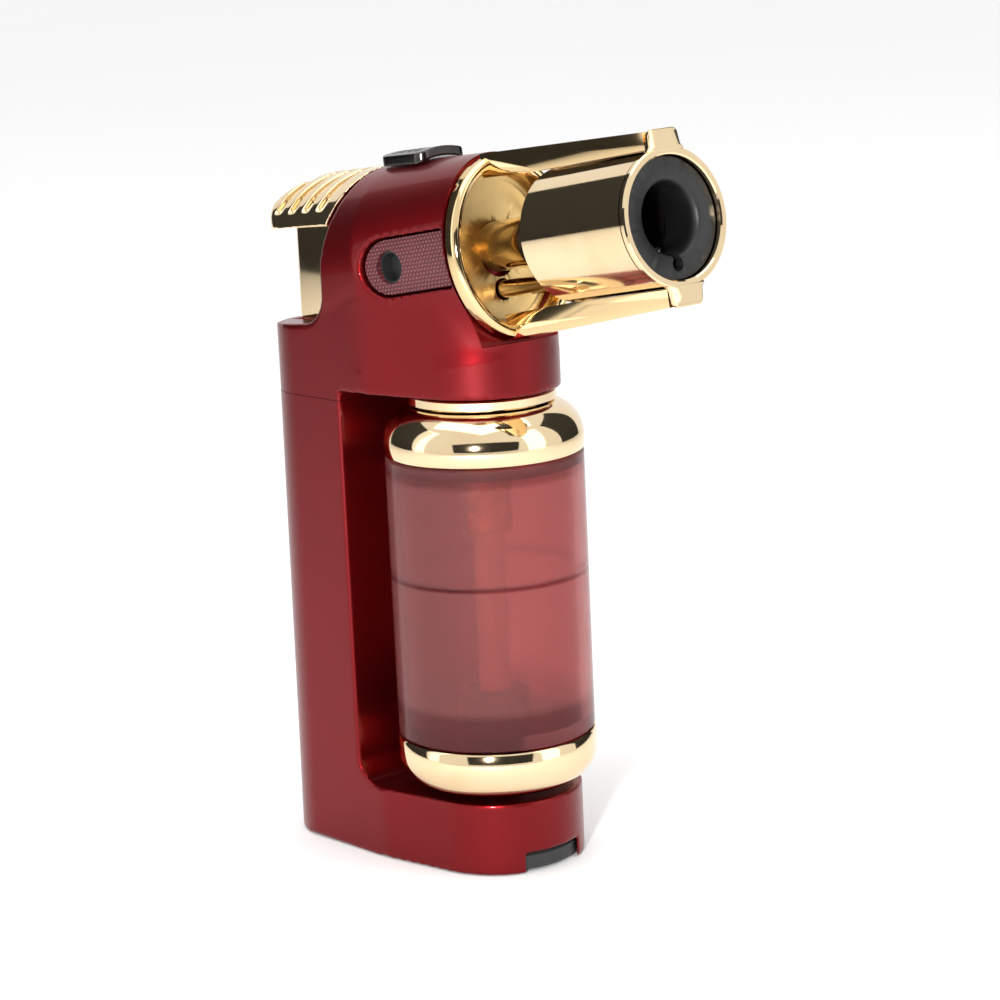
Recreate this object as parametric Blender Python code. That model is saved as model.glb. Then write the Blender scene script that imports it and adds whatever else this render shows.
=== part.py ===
"""Butane torch for jewellery making.

A die-cast handle frame (rear leg and foot) and a head housing hold a clear fuel tank, a burner with
its guard, and a thumb trigger that opens the gas valve and fires a piezo igniter.
+X is the way the nozzle points, +Z is up, and the torch is the same on both sides of y = 0.
"""
import math

import bmesh
import bpy
from mathutils import Matrix, Vector

MM = 0.001

# ---- driving sizes, in millimetres -----------------------------------------------------------
GAP = 0.3                    # air between pieces that touch
WALL = 1.6                   # die-cast wall

NOZZLE_TILT = 10.0           # degrees, how far the nozzle points up
NOZZLE_X = 41.1              # centre of the nozzle's front face, from the tank's axis
RIDGE_TILT = 7.0             # degrees, slope of the head's top line

# plan of the handle: a round nose, fuller flanks and rounded rear corners
FOOT_NOSE_RADIUS = 12.2
HEAD_NOSE_RADIUS = 11.5
FLANK_X = -11.5
FLANK_RADIUS = 14.1
REAR_X = -35.1
FOOT_REAR_X = -36.0         # the back of the leg leans out towards the foot
REAR_CORNER_RADIUS = 9.5
REAR_HALF_WIDTH = 14.4

# tank
CAP_RADIUS = 14.6
TANK_RADIUS = 14.45
TANK_WALL = 1.7
FOOT_TOP = 10.6              # floor of the handle's window
BOTTOM_CAP_LIFT = 0.8        # the cap's underside above that floor
BOTTOM_CAP_HEIGHT = 7.45
BOTTOM_CAP_ROUND = 4.6
TANK_HEIGHT = 41.95
DOME_HEIGHT = 7.2
DOME_ROUND = 5.4
COLLAR_RADIUS = 10.8
COLLAR_HEIGHT = 1.5
CENTRE_TUBE_RADIUS = 2.3
LEVEL_PORT_RADIUS = 3.1      # fill valve body
OUTLET_RADIUS = 3.6
TANK_HEADROOM = 0.4          # between the tank's collar and the head above it

# heights, from the window's floor up to the head's roof over the tank, and from that roof on
BOTTOM_CAP_Z = FOOT_TOP + BOTTOM_CAP_LIFT
TANK_Z = BOTTOM_CAP_Z + BOTTOM_CAP_HEIGHT
ROOF_Z = TANK_Z + TANK_HEIGHT + DOME_HEIGHT + COLLAR_HEIGHT + TANK_HEADROOM
SEAM_Z = ROOF_Z - 1.5        # where the head housing meets the handle frame
OUTLET_Z = ROOF_Z - 20.9     # lower end of the outlet valve body
OUTLET_TOP = ROOF_Z + 4.6
SHOULDER_Z = ROOF_Z + 9.1
BLOCK_TOP = ROOF_Z + 14.1
CHEEK_FOOT_Z = SHOULDER_Z + 9.0
NOZZLE_Z = ROOF_Z + 27.1     # centre of the nozzle's front face
WINDOW_X = -15.4             # front face of the rear leg
WINDOW_FILLET = 4.0

# head: the back edge of its cheeks
CHEEK_X = -18.1
CHEEK_LEAN = 1.4             # how far the edge comes forward from its foot to the ridge

# adjuster wheel
WHEEL_RADIUS = 11.5
WHEEL_Z = 0.2
WHEEL_THICKNESS = 2.5
NOTCH_HALF_WIDTH = 5.0

# burner, lengths along the nozzle's axis, backwards from its front face
BARREL_RADIUS = 9.4
BARREL_WALL = 0.5
BARREL_LENGTH = 21.0
PLATE_THICKNESS = 0.8
TAB_HEIGHT = 11.9            # from the nozzle's axis to the end of a tab
TAB_HALF_WIDTH = 2.7
INSERT_SETBACK = 1.4
INSERT_RING = 8.5            # opening of the front plate, round the black insert
INSERT_LENGTH = 5.7
INSERT_BORE = 4.8
NECK_TUBE_RADIUS = 3.6
NECK_TUBE_WALL = 1.2
POST_DROP = 6.1              # electrode post, below the nozzle's axis
POST_RADIUS = 1.3

# guard
FLANGE_BACK = 34.8
FLANGE_THICKNESS = 2.2
FLANGE_HALF_WIDTH = 11.4
FLANGE_HALF_HEIGHT = 13.3
FLANGE_RIM = 1.7
RAIL_HALF_WIDTH = 2.7
FLANGE_DROP = 0.3            # the flange sits a little below the nozzle's axis

# trigger
TRIGGER_TRAVEL = 4.5
STEM_BACK_X = -31.9
STEM_FRONT_X = -17.7
STEM_HALF_WIDTH = 8.0
STEM_WALL = 1.6
STEM_FOOT_Z = ROOF_Z + 3.1
LIP_Z = SHOULDER_Z + 14.4    # underside of the thumb cap at the cheeks
LIP_HEIGHT = 1.8
LIP_TILT = 5.5
CAP_REAR_X = -35.0
CAP_CORNER_RADIUS = 5.0
CAP_ROUND = 7.2
GROOVES = 4
GROOVE_PITCH = 3.2
GROOVE_WIDTH = 1.3
GROOVE_DEPTH = 0.7

# lock slider
SLIDER_BACK_X = -15.4
SLIDER_LENGTH = 9.6
SLIDER_HALF_WIDTH = 4.4
SLIDER_HEIGHT = 1.7
SLIDER_TRAVEL = 3.0

# the drawing frame: the tank's axis is moved so that the torch's box is centred on x = 0
TILT = math.radians(NOZZLE_TILT)
FRONT_X = NOZZLE_X + TAB_HEIGHT * math.sin(TILT)
TANK_X = -(FRONT_X + min(FOOT_REAR_X, CAP_REAR_X)) / 2


# ---- helpers ----------------------------------------------------------------------------------
def clear_scene():
    for thing in list(bpy.data.objects):
        bpy.data.objects.remove(thing, do_unlink=True)


def make_material(name, colour, metallic, roughness, alpha=1.0):
    material = bpy.data.materials.new(name)
    material.use_nodes = True
    shader = material.node_tree.nodes["Principled BSDF"]
    shader.inputs["Base Color"].default_value = (*colour, 1.0)
    shader.inputs["Metallic"].default_value = metallic
    shader.inputs["Roughness"].default_value = roughness
    shader.inputs["Alpha"].default_value = alpha
    material.diffuse_color = (*colour, alpha)
    return material


def make_empty(name, location, tilt=0.0):
    empty = bpy.data.objects.new(name, None)
    empty.location = Vector(location) * MM
    empty.rotation_euler = (0.0, -tilt, 0.0)
    bpy.context.collection.objects.link(empty)
    return empty


def make_object(name, mesh_data, material=None, parent=None, location=(0, 0, 0), smooth=30.0):
    """Link a bmesh, drawn in millimetres, as an object in metres."""
    bmesh.ops.scale(mesh_data, vec=(MM, MM, MM), verts=mesh_data.verts)
    bmesh.ops.recalc_face_normals(mesh_data, faces=mesh_data.faces)
    mesh = bpy.data.meshes.new(name)
    mesh_data.to_mesh(mesh)
    mesh_data.free()
    thing = bpy.data.objects.new(name, mesh)
    bpy.context.collection.objects.link(thing)
    thing.parent = parent
    thing.location = Vector(location) * MM
    if material:
        mesh.materials.append(material)
    mesh.shade_smooth()
    mesh.set_sharp_from_angle(angle=math.radians(smooth))
    return thing


def boolean(target, tool, operation="DIFFERENCE", solver="EXACT"):
    """Cut, join or intersect; the tool is a guide that the model leaves out."""
    modifier = target.modifiers.new(operation.title() + " " + tool.name, "BOOLEAN")
    modifier.operation = operation
    modifier.solver = solver
    modifier.object = tool
    tool.hide_render = True
    tool.display_type = "WIRE"
    return target


def loft(rings, closed=False):
    """Skin a row of rings of equal count; closed joins the last ring to the first."""
    shape = bmesh.new()
    rows = [[shape.verts.new(point) for point in ring] for ring in rings]
    count = len(rows[0])
    pairs = list(zip(rows, rows[1:]))
    if closed:
        pairs.append((rows[-1], rows[0]))
    else:
        shape.faces.new(reversed(rows[0]))
        shape.faces.new(rows[-1])
    for lower, upper in pairs:
        for i in range(count):
            j = (i + 1) % count
            shape.faces.new((lower[i], lower[j], upper[j], upper[i]))
    return shape


def prism(outline, low, high, axis="Z"):
    """Extrude an outline: (x, y) along Z, or (x, z) along Y."""
    if axis == "Z":
        return loft([[(x, y, level) for x, y in outline] for level in (low, high)])
    return loft([[(x, level, z) for x, z in outline] for level in (low, high)])


def box(x, y, z):
    """A block between two values on each axis."""
    return prism([(x[0], y[0]), (x[1], y[0]), (x[1], y[1]), (x[0], y[1])], z[0], z[1])


def turned(profile, sides=32, axis="Z", centre=(0, 0, 0)):
    """Turn (radius, distance) points round an axis; points on the axis close the shape."""
    shape = bmesh.new()
    rows = []
    for radius, along in profile:
        count = 1 if radius == 0 else sides
        row = []
        for i in range(count):
            turn = 2 * math.pi * i / sides
            across = (radius * math.cos(turn), radius * math.sin(turn))
            point = (*across, along) if axis == "Z" else (along, *across)
            row.append(shape.verts.new(Vector(point) + Vector(centre)))
        rows.append(row)
    pairs = list(zip(rows, rows[1:]))
    if profile[0][0] and profile[-1][0]:
        pairs.append((rows[-1], rows[0]))
    for first, second in pairs:
        for i in range(sides):
            j = (i + 1) % sides
            corners = [first[i % len(first)], first[j % len(first)],
                       second[j % len(second)], second[i % len(second)]]
            shape.faces.new(list(dict.fromkeys(corners)))
    return shape


def arc(centre, radius, start, end, steps):
    """Points on an arc in a plane, angles in degrees."""
    points = []
    for i in range(steps + 1):
        turn = math.radians(start + (end - start) * i / steps)
        points.append((centre[0] + radius * math.cos(turn), centre[1] + radius * math.sin(turn)))
    return points


def belt(circles):
    """The outline of a belt stretched round circles (x, y, radius, steps), listed anticlockwise."""
    normals = []
    for (x0, y0, r0, _), (x1, y1, r1, _) in zip(circles, circles[1:] + circles[:1]):
        distance = math.hypot(x1 - x0, y1 - y0)
        normals.append(math.atan2(y1 - y0, x1 - x0) - math.acos((r0 - r1) / distance))
    outline = []
    for i, (x, y, radius, steps) in enumerate(circles):
        start = normals[i - 1]
        sweep = (normals[i] - start) % (2 * math.pi)
        for k in range(steps + 1):
            turn = start + sweep * k / steps
            outline.append((x + radius * math.cos(turn), y + radius * math.sin(turn)))
    return outline


def tube(name, points, radius, material, parent, resolution=2):
    """A round bar or pipe along a smooth line through the points."""
    curve = bpy.data.curves.new(name, "CURVE")
    curve.dimensions = "3D"
    curve.bevel_depth = radius * MM
    curve.bevel_resolution = resolution
    curve.use_fill_caps = True
    spline = curve.splines.new("POLY")
    line = smooth_line(points)
    spline.points.add(len(line) - 1)
    for vertex, point in zip(spline.points, line):
        vertex.co = (*(Vector(point) * MM), 1.0)
    thing = bpy.data.objects.new(name, curve)
    bpy.context.collection.objects.link(thing)
    thing.parent = parent
    curve.materials.append(material)
    return thing


def smooth_line(points, steps=5):
    """A Catmull-Rom line through the points."""
    ends = [2 * Vector(points[0]) - Vector(points[1])], [2 * Vector(points[-1]) - Vector(points[-2])]
    knots = ends[0] + [Vector(p) for p in points] + ends[1]
    line = []
    for a, b, c, d in zip(knots, knots[1:], knots[2:], knots[3:]):
        for k in range(steps):
            t = k / steps
            line.append(0.5 * (2 * b + (c - a) * t + (2 * a - 5 * b + 4 * c - d) * t * t
                               + (3 * b - a - 3 * c + d) * t ** 3))
    return line + [Vector(points[-1])]


def body_outline(nose_radius, inset=0.0, rear_x=REAR_X):
    """Plan of the handle: belt round the nose, the flanks and the rear corners."""
    corner_y = REAR_HALF_WIDTH - REAR_CORNER_RADIUS
    corner_x = rear_x + REAR_CORNER_RADIUS
    return belt([(0, 0, nose_radius - inset, 22),
                 (FLANK_X, 0, FLANK_RADIUS - inset, 3),
                 (corner_x, corner_y, REAR_CORNER_RADIUS - inset, 9),
                 (corner_x, -corner_y, REAR_CORNER_RADIUS - inset, 9),
                 (FLANK_X, 0, FLANK_RADIUS - inset, 3)])


def leg_outline(inset):
    """Plan of the space inside the rear leg."""
    corner_y = REAR_HALF_WIDTH - REAR_CORNER_RADIUS
    corner_x = REAR_X + REAR_CORNER_RADIUS
    front_round = 2.5
    front_x = WINDOW_X - inset - front_round
    front_y = REAR_HALF_WIDTH - inset - front_round - GAP
    return belt([(front_x, -front_y, front_round, 3), (front_x, front_y, front_round, 3),
                 (corner_x, corner_y, REAR_CORNER_RADIUS - inset, 5),
                 (corner_x, -corner_y, REAR_CORNER_RADIUS - inset, 5)])


def arch_ring(back, half_width, top, bottom, power, count=48):
    """Cross-section of the head: an elliptic arch over fuller sides, in the nozzle's frame."""
    ring = []
    for i in range(count):
        turn = 2 * math.pi * i / count
        c, s = math.cos(turn), math.sin(turn)
        if s >= -1e-9:
            ring.append((-back, half_width * c, top * s))
        else:
            ring.append((-back, math.copysign(abs(c) ** (2 / power), c) * half_width,
                         -bottom * abs(s) ** (2 / power)))
    return ring


HEAD_FRONT = FLANGE_BACK + GAP
FLANK_STATION_X = -10.6      # where the head's sections change, along the handle
REAR_STATION_X = -23.9
TAIL_STATION_X = -41.62
CAVITY_REAR_X = -16.51
FLANK_BACK = (NOZZLE_X - FLANK_STATION_X) / math.cos(TILT)
REAR_BACK = (NOZZLE_X - REAR_STATION_X) / math.cos(TILT)
TAIL_BACK = (NOZZLE_X - TAIL_STATION_X) / math.cos(TILT)
CAVITY_BACK = (NOZZLE_X - CAVITY_REAR_X) / math.cos(TILT)
RIDGE_RISE = math.tan(math.radians(NOZZLE_TILT - RIDGE_TILT))


def arch_height(back):
    return FLANGE_HALF_HEIGHT + (back - HEAD_FRONT) * RIDGE_RISE


def arch_solid(inset, front, rear):
    """The head's barrel-shaped upper body between two stations."""
    stations = [(HEAD_FRONT, FLANGE_HALF_WIDTH, FLANGE_HALF_HEIGHT, 2.0),
                (FLANK_BACK, FLANK_RADIUS + 0.1, 14.0, 2.6),
                (REAR_BACK, REAR_HALF_WIDTH + 0.1, 15.0, 4.0),
                (TAIL_BACK, REAR_HALF_WIDTH + 0.1, 15.0, 4.0)]

    def section(back):
        for (b0, w0, d0, p0), (b1, w1, d1, p1) in zip(stations, stations[1:]):
            if back <= b1:
                break
        t = (back - b0) / (b1 - b0)
        return arch_ring(back, w0 + (w1 - w0) * t - inset, arch_height(back) - inset,
                         d0 + (d1 - d0) * t - inset, p0 + (p1 - p0) * t)

    inner = [station[0] for station in stations if front < station[0] < rear]
    return loft([section(back) for back in [front] + inner + [rear]])


def ridge_z(x):
    """Height of the head's top line."""
    back = (NOZZLE_X - x) / math.cos(TILT)
    return NOZZLE_Z - back * math.sin(TILT) + arch_height(back) / math.cos(TILT)


# ---- materials --------------------------------------------------------------------------------
def make_materials():
    return {
        "red": make_material("red_paint", (0.30, 0.012, 0.016), 0.7, 0.28),
        "gold": make_material("gold_plate", (0.86, 0.66, 0.40), 1.0, 0.08),
        "black": make_material("black_plastic", (0.012, 0.012, 0.013), 0.0, 0.45),
        "smoke": make_material("tank_plastic", (0.45, 0.12, 0.13), 0.0, 0.3, 0.5),
        "maroon": make_material("maroon_plastic", (0.115, 0.022, 0.027), 0.0, 0.5),
        "gunmetal": make_material("gunmetal", (0.16, 0.15, 0.15), 1.0, 0.25),
        "brass": make_material("brass", (0.62, 0.44, 0.18), 1.0, 0.3),
        "steel": make_material("steel", (0.55, 0.55, 0.56), 1.0, 0.3),
        "rubber": make_material("rubber", (0.02, 0.02, 0.02), 0.0, 0.8),
    }


# ---- handle -----------------------------------------------------------------------------------
BOSS_RADIUS = 2.4
SCREW_RADIUS = 0.8
SCREW_HEAD_RADIUS = 1.5
COVER_THICKNESS = 1.2
BASE_SCREWS = {"base_screw_front": WINDOW_X - WALL - 2.2, "base_screw_rear": REAR_X + WALL + 2.2}


def build_handle(mat, axis):
    """Handle frame: the rear leg and the foot in one casting, open at the top and underneath."""
    foot = [(x, y, 0) for x, y in body_outline(FOOT_NOSE_RADIUS, 0, FOOT_REAR_X)]
    seam = [(x, y, SEAM_Z - GAP) for x, y in body_outline(FOOT_NOSE_RADIUS)]
    frame = make_object("handle_frame", loft([foot, seam]), mat["red"], axis)
    corner = (WINDOW_X + WINDOW_FILLET, FOOT_TOP + WINDOW_FILLET)
    far_x = FOOT_NOSE_RADIUS + 10
    window = [(WINDOW_X, SEAM_Z + 5)] + arc(corner, WINDOW_FILLET, 180, 270, 6)
    window += [(far_x, FOOT_TOP), (far_x, SEAM_Z + 5)]
    boolean(frame, make_object("cut_window", prism(window, -30, 30, axis="Y"), None, axis))
    cover_top = GAP + COVER_THICKNESS
    boolean(frame, make_object("cut_leg", prism(leg_outline(WALL), cover_top + GAP, SEAM_Z + 5), None,
                               axis))
    boolean(frame, make_object("cut_leg_mouth", prism(leg_outline(WALL), -1, cover_top + 1), None, axis))
    for name, x in BASE_SCREWS.items():
        boss = turned([(0, cover_top + GAP), (BOSS_RADIUS, cover_top + GAP), (BOSS_RADIUS, FOOT_TOP + 2),
                       (0, FOOT_TOP + 2)], sides=16, centre=(x, 0, 0))
        boolean(frame, make_object("boss_" + name, boss, None, axis), "UNION")
    pilot = SCREW_RADIUS + GAP
    for name, x in BASE_SCREWS.items():
        hole = turned([(0, -1), (pilot, -1), (pilot, FOOT_TOP), (0, FOOT_TOP)], sides=12,
                      centre=(x, 0, 0))
        boolean(frame, make_object("hole_" + name, hole, None, axis))
    pocket_top = WHEEL_Z + WHEEL_THICKNESS + GAP
    pocket_radius = WHEEL_RADIUS + GAP
    bore_radius = LEVEL_PORT_RADIUS + GAP
    pocket = turned([(0, -1), (pocket_radius, -1), (pocket_radius, pocket_top), (bore_radius, pocket_top),
                     (bore_radius, FOOT_TOP + 1), (0, FOOT_TOP + 1)], sides=48)
    boolean(frame, make_object("cut_pocket", pocket, None, axis))
    notch = box((WHEEL_RADIUS / 2, FOOT_NOSE_RADIUS + 2), (-NOTCH_HALF_WIDTH, NOTCH_HALF_WIDTH),
                (-1, pocket_top))
    boolean(frame, make_object("cut_notch", notch, None, axis))

    cover = make_object("base_cover", prism(leg_outline(WALL + GAP), GAP, cover_top), mat["black"], axis)
    for name, x in BASE_SCREWS.items():
        sink = SCREW_HEAD_RADIUS + GAP
        hole = turned([(0, 0), (sink, 0), (sink, GAP + 0.7), (pilot, GAP + 0.7), (pilot, 3), (0, 3)],
                      sides=16, centre=(x, 0, 0))
        boolean(cover, make_object("sink_" + name, hole, None, axis))
        head = GAP + 0.4
        shank = turned([(0, 0.1), (SCREW_HEAD_RADIUS, 0.1), (SCREW_HEAD_RADIUS, head),
                        (SCREW_RADIUS, head),
                        (SCREW_RADIUS, FOOT_TOP - 2), (0, FOOT_TOP - 1)], sides=16)
        make_object(name, shank, mat["steel"], axis, (x, 0, 0))

    wheel_top = WHEEL_Z + WHEEL_THICKNESS
    hub = LEVEL_PORT_RADIUS + GAP
    wheel = turned([(hub, WHEEL_Z), (WHEEL_RADIUS - 0.4, WHEEL_Z), (WHEEL_RADIUS, WHEEL_Z + 0.4),
                    (WHEEL_RADIUS, wheel_top - 0.4), (WHEEL_RADIUS - 0.4, wheel_top), (hub, wheel_top)],
                   sides=48)
    make_object("adjuster_wheel", wheel, mat["black"], axis)


# ---- tank -------------------------------------------------------------------------------------
TANK_TOP = TANK_Z + TANK_HEIGHT
SPIGOT_RADIUS = TANK_RADIUS - 2.1
REGULATOR_RADIUS = 5.2
REGULATOR_HEIGHT = 3.5
SEAL_THICKNESS = 1.2


def build_tank(mat, axis):
    """Fuel tank: a clear bottle between two gold caps, with the fill valve and a centre tube inside."""
    bore = LEVEL_PORT_RADIUS + GAP
    shell = 1.8
    lip = CAP_RADIUS - shell
    arc_centre = (CAP_RADIUS - BOTTOM_CAP_ROUND, BOTTOM_CAP_Z + BOTTOM_CAP_ROUND)
    bowl = [(bore, BOTTOM_CAP_Z)] + arc(arc_centre, BOTTOM_CAP_ROUND, -90, 0, 6) + [(CAP_RADIUS, TANK_Z)]
    bowl += [(lip, TANK_Z)] + arc(arc_centre, BOTTOM_CAP_ROUND - shell, 0, -90, 6)
    bowl += [(bore, BOTTOM_CAP_Z + shell)]
    make_object("tank_bottom_cap", turned(bowl, sides=40), mat["gold"], axis)

    low = TANK_Z + GAP
    high = TANK_TOP - GAP
    inner = TANK_RADIUS - TANK_WALL
    floor = low + TANK_WALL
    spigot_top = TANK_TOP + 2.2
    neck_hole = OUTLET_RADIUS + GAP
    bottle = [(bore, low), (TANK_RADIUS, low), (TANK_RADIUS, high), (SPIGOT_RADIUS, high),
              (SPIGOT_RADIUS, spigot_top), (neck_hole, spigot_top), (neck_hole, spigot_top - TANK_WALL),
              (SPIGOT_RADIUS - TANK_WALL, spigot_top - TANK_WALL), (SPIGOT_RADIUS - TANK_WALL, high - 1),
              (inner, high - 2), (inner, floor), (bore, floor)]
    make_object("tank_shell", turned(bottle, sides=40), mat["smoke"], axis)

    dome_z = TANK_TOP + DOME_HEIGHT
    dome_centre = (CAP_RADIUS - DOME_ROUND, dome_z - DOME_ROUND)
    collar_z = ROOF_Z - GAP - COLLAR_HEIGHT
    neck_inner = OUTLET_RADIUS + 1.5
    under = spigot_top + GAP
    dome = [(CAP_RADIUS, TANK_TOP)] + arc(dome_centre, DOME_ROUND, 0, 90, 8)
    dome += [(neck_inner, dome_z), (neck_inner, under), (SPIGOT_RADIUS + GAP, under)]
    dome += [(SPIGOT_RADIUS + GAP, TANK_TOP)]
    make_object("tank_top_cap", turned(dome, sides=40), mat["gold"], axis)

    collar = [(neck_inner, collar_z), (COLLAR_RADIUS - 0.3, collar_z), (COLLAR_RADIUS, collar_z + 0.3),
              (COLLAR_RADIUS, collar_z + COLLAR_HEIGHT - 0.3),
              (COLLAR_RADIUS - 0.3, collar_z + COLLAR_HEIGHT),
              (neck_inner, collar_z + COLLAR_HEIGHT)]
    make_object("tank_collar", turned(collar, sides=40), mat["gold"], axis)

    seal_low = TANK_Z - SEAL_THICKNESS
    make_object("tank_seal_lower", turned([(bore, seal_low), (bore + 3, seal_low), (bore + 3, TANK_Z),
                                           (bore, TANK_Z)],
                                          sides=24), mat["rubber"], axis)
    seal_top = collar_z + SEAL_THICKNESS
    seal = [(neck_hole, collar_z), (neck_inner - GAP, collar_z), (neck_inner - GAP, seal_top),
            (neck_hole, seal_top)]
    make_object("tank_seal_upper", turned(seal, sides=24), mat["rubber"], axis)

    base_z = floor + GAP
    base_top = base_z + REGULATOR_HEIGHT
    channel = 1.2
    body = [(channel, 1.0), (LEVEL_PORT_RADIUS - 0.6, 1.0), (LEVEL_PORT_RADIUS, 1.6),
            (LEVEL_PORT_RADIUS, base_z),
            (REGULATOR_RADIUS, base_z), (REGULATOR_RADIUS, base_top), (channel, base_top)]
    make_object("fill_valve_body", turned(body, sides=24), mat["brass"], axis)
    stem_radius = channel - GAP
    stem = [(0, 2.4), (stem_radius, 2.4), (stem_radius, base_z), (0, base_z)]
    make_object("fill_valve_stem", turned(stem, sides=12), mat["steel"], axis)

    tube_wall = 0.8
    inner = CENTRE_TUBE_RADIUS - tube_wall
    pipe = [(inner, base_top + GAP), (CENTRE_TUBE_RADIUS, base_top + GAP),
            (CENTRE_TUBE_RADIUS, OUTLET_Z - GAP),
            (inner, OUTLET_Z - GAP)]
    make_object("centre_tube", turned(pipe, sides=24), mat["smoke"], axis)


# ---- outlet valve and lever -------------------------------------------------------------------
VALVE_STEM_RADIUS = 1.0
VALVE_FLANGE_RADIUS = 2.0
LEVER_PIVOT_X = -3.4
LEVER_PIVOT_Z = ROOF_Z + 7.3
LEVER_THICKNESS = 1.6
LEVER_HALF_WIDTH = 3.0
LEVER_BACK_X = -16.4
PIN_RADIUS = 0.8
LEVER_TIP = 1.1              # thickness at the end that the trigger presses
BRACKET_HALF_WIDTH = 5.0
BRACKET_SHEET = 1.0
LEDGE_Z = LEVER_PIVOT_Z + 1.1  # underside of the trigger's forward ledge


def build_valve(mat, axis):
    """Outlet valve on top of the tank, opened by a rocking lever."""
    hole = VALVE_STEM_RADIUS + GAP
    body = [(hole, OUTLET_Z), (OUTLET_RADIUS, OUTLET_Z), (OUTLET_RADIUS, OUTLET_TOP), (hole, OUTLET_TOP)]
    make_object("outlet_valve_body", turned(body, sides=24), mat["brass"], axis)
    lever_top = LEVER_PIVOT_Z + LEVER_THICKNESS / 2
    flange_z = lever_top + GAP
    stem = [(0, OUTLET_Z + 15), (VALVE_STEM_RADIUS, OUTLET_Z + 15), (VALVE_STEM_RADIUS, flange_z),
            (VALVE_FLANGE_RADIUS, flange_z), (VALVE_FLANGE_RADIUS, flange_z + 1), (0, flange_z + 1)]
    make_object("outlet_valve_stem", turned(stem, sides=16), mat["steel"], axis)

    half = LEVER_THICKNESS / 2
    nose_x = VALVE_FLANGE_RADIUS - 1.4
    back_z = LEDGE_Z - GAP
    dx = -LEVER_PIVOT_X
    hub = PIN_RADIUS + GAP + 1.0
    waist = dx - VALVE_FLANGE_RADIUS - GAP
    outline = [(LEVER_BACK_X + dx, back_z - LEVER_PIVOT_Z - LEVER_TIP), (-hub, -hub), (0.2, -hub),
               (waist, -half), (nose_x + dx, -half), (nose_x + dx, half), (waist, half),
               (0.2, hub), (-hub, hub),
               (LEVER_BACK_X + dx + 3, back_z - LEVER_PIVOT_Z),
               (LEVER_BACK_X + dx, back_z - LEVER_PIVOT_Z)]
    pivot = make_empty("lever_pivot", (LEVER_PIVOT_X, 0, LEVER_PIVOT_Z))
    pivot.parent = axis
    lever = make_object("valve_lever", prism(outline, -LEVER_HALF_WIDTH, LEVER_HALF_WIDTH, axis="Y"),
                        mat["steel"], pivot)
    fork = box((dx - hole - 0.4, dx + 9), (-hole - 0.1, hole + 0.1), (-9, 9))
    boolean(lever, make_object("cut_fork", fork, None, pivot))
    pin_hole = PIN_RADIUS + GAP
    across = turned([(0, -20), (pin_hole, -20), (pin_hole, 20), (0, 20)], sides=16)
    bmesh.ops.rotate(across, verts=across.verts, matrix=Matrix.Rotation(math.pi / 2, 3, "X"))
    boolean(lever, make_object("cut_lever_hole", across, None, pivot))
    pin = turned([(0, -BRACKET_HALF_WIDTH - 0.6), (PIN_RADIUS, -BRACKET_HALF_WIDTH - 0.6),
                  (PIN_RADIUS, BRACKET_HALF_WIDTH + 0.6), (0, BRACKET_HALF_WIDTH + 0.6)], sides=16)
    bmesh.ops.rotate(pin, verts=pin.verts, matrix=Matrix.Rotation(math.pi / 2, 3, "X"))
    make_object("lever_pin", pin, mat["steel"], pivot)

    floor = ROOF_Z + WALL + GAP
    bracket = make_object("lever_bracket", box((-6.6, 5.6), (-BRACKET_HALF_WIDTH, BRACKET_HALF_WIDTH),
                                               (floor, LEVER_PIVOT_Z + 2.4)), mat["steel"], axis)
    inside = BRACKET_HALF_WIDTH - BRACKET_SHEET
    boolean(bracket, make_object("cut_bracket", box((-9, 9), (-inside, inside),
                                                    (floor + BRACKET_SHEET, floor + 20)),
                                 None, axis))
    boolean(bracket, make_object("cut_bracket_front", box((-1.2, 9), (-9, 9),
                                                          (floor + BRACKET_SHEET, floor + 20)),
                                 None, axis))
    seat = OUTLET_RADIUS + GAP
    boolean(bracket, make_object("cut_bracket_seat", turned([(0, floor - 1), (seat, floor - 1),
                                                             (seat, floor + 20), (0, floor + 20)],
                                                            sides=24),
                                 None, axis))
    across = turned([(0, -20), (pin_hole, -20), (pin_hole, 20), (0, 20)], sides=16)
    bmesh.ops.rotate(across, verts=across.verts, matrix=Matrix.Rotation(math.pi / 2, 3, "X"))
    boolean(bracket, make_object("cut_pin_hole", across, None, pivot))

    tube("gas_pipe", [(OUTLET_RADIUS + GAP + 0.9, 0, OUTLET_TOP - 0.8), (5.7, 0, ROOF_Z + 7.1),
                      (5.0, 0, ROOF_Z + 10.6),
                      (1.7, 0, ROOF_Z + 13.7), (0.3, 0, ROOF_Z + 15.5)], 0.8, mat["brass"], axis)


# ---- head -------------------------------------------------------------------------------------
SLOT_CLEARANCE = 0.5
PANEL_HALF_HEIGHT = 3.9
PANEL_BACK = 50.8
PANEL_DROP = 0.5
PANEL_SETBACK = 0.8
PANEL_THICKNESS = 1.2
SCREW_BACK = 46.3
PANEL_HOLE_RADIUS = 2.4


def stadium(inset):
    """Side outline of the dotted panel: a round rear end, open towards the guard."""
    radius = PANEL_HALF_HEIGHT - inset
    centre = (-PANEL_BACK + PANEL_HALF_HEIGHT, -PANEL_DROP)
    front = -HEAD_FRONT - 0.9 - inset
    return arc(centre, radius, 90, 270, 10) + [(front, -PANEL_DROP - radius),
                                               (front, -PANEL_DROP + radius)]


def cheek_x(z):
    """The back edge of the cheeks, which leans forward above its foot."""
    rise = max(0.0, z - CHEEK_FOOT_Z) / (ridge_z(CHEEK_X) - CHEEK_FOOT_Z)
    return CHEEK_X + CHEEK_LEAN * rise


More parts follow.
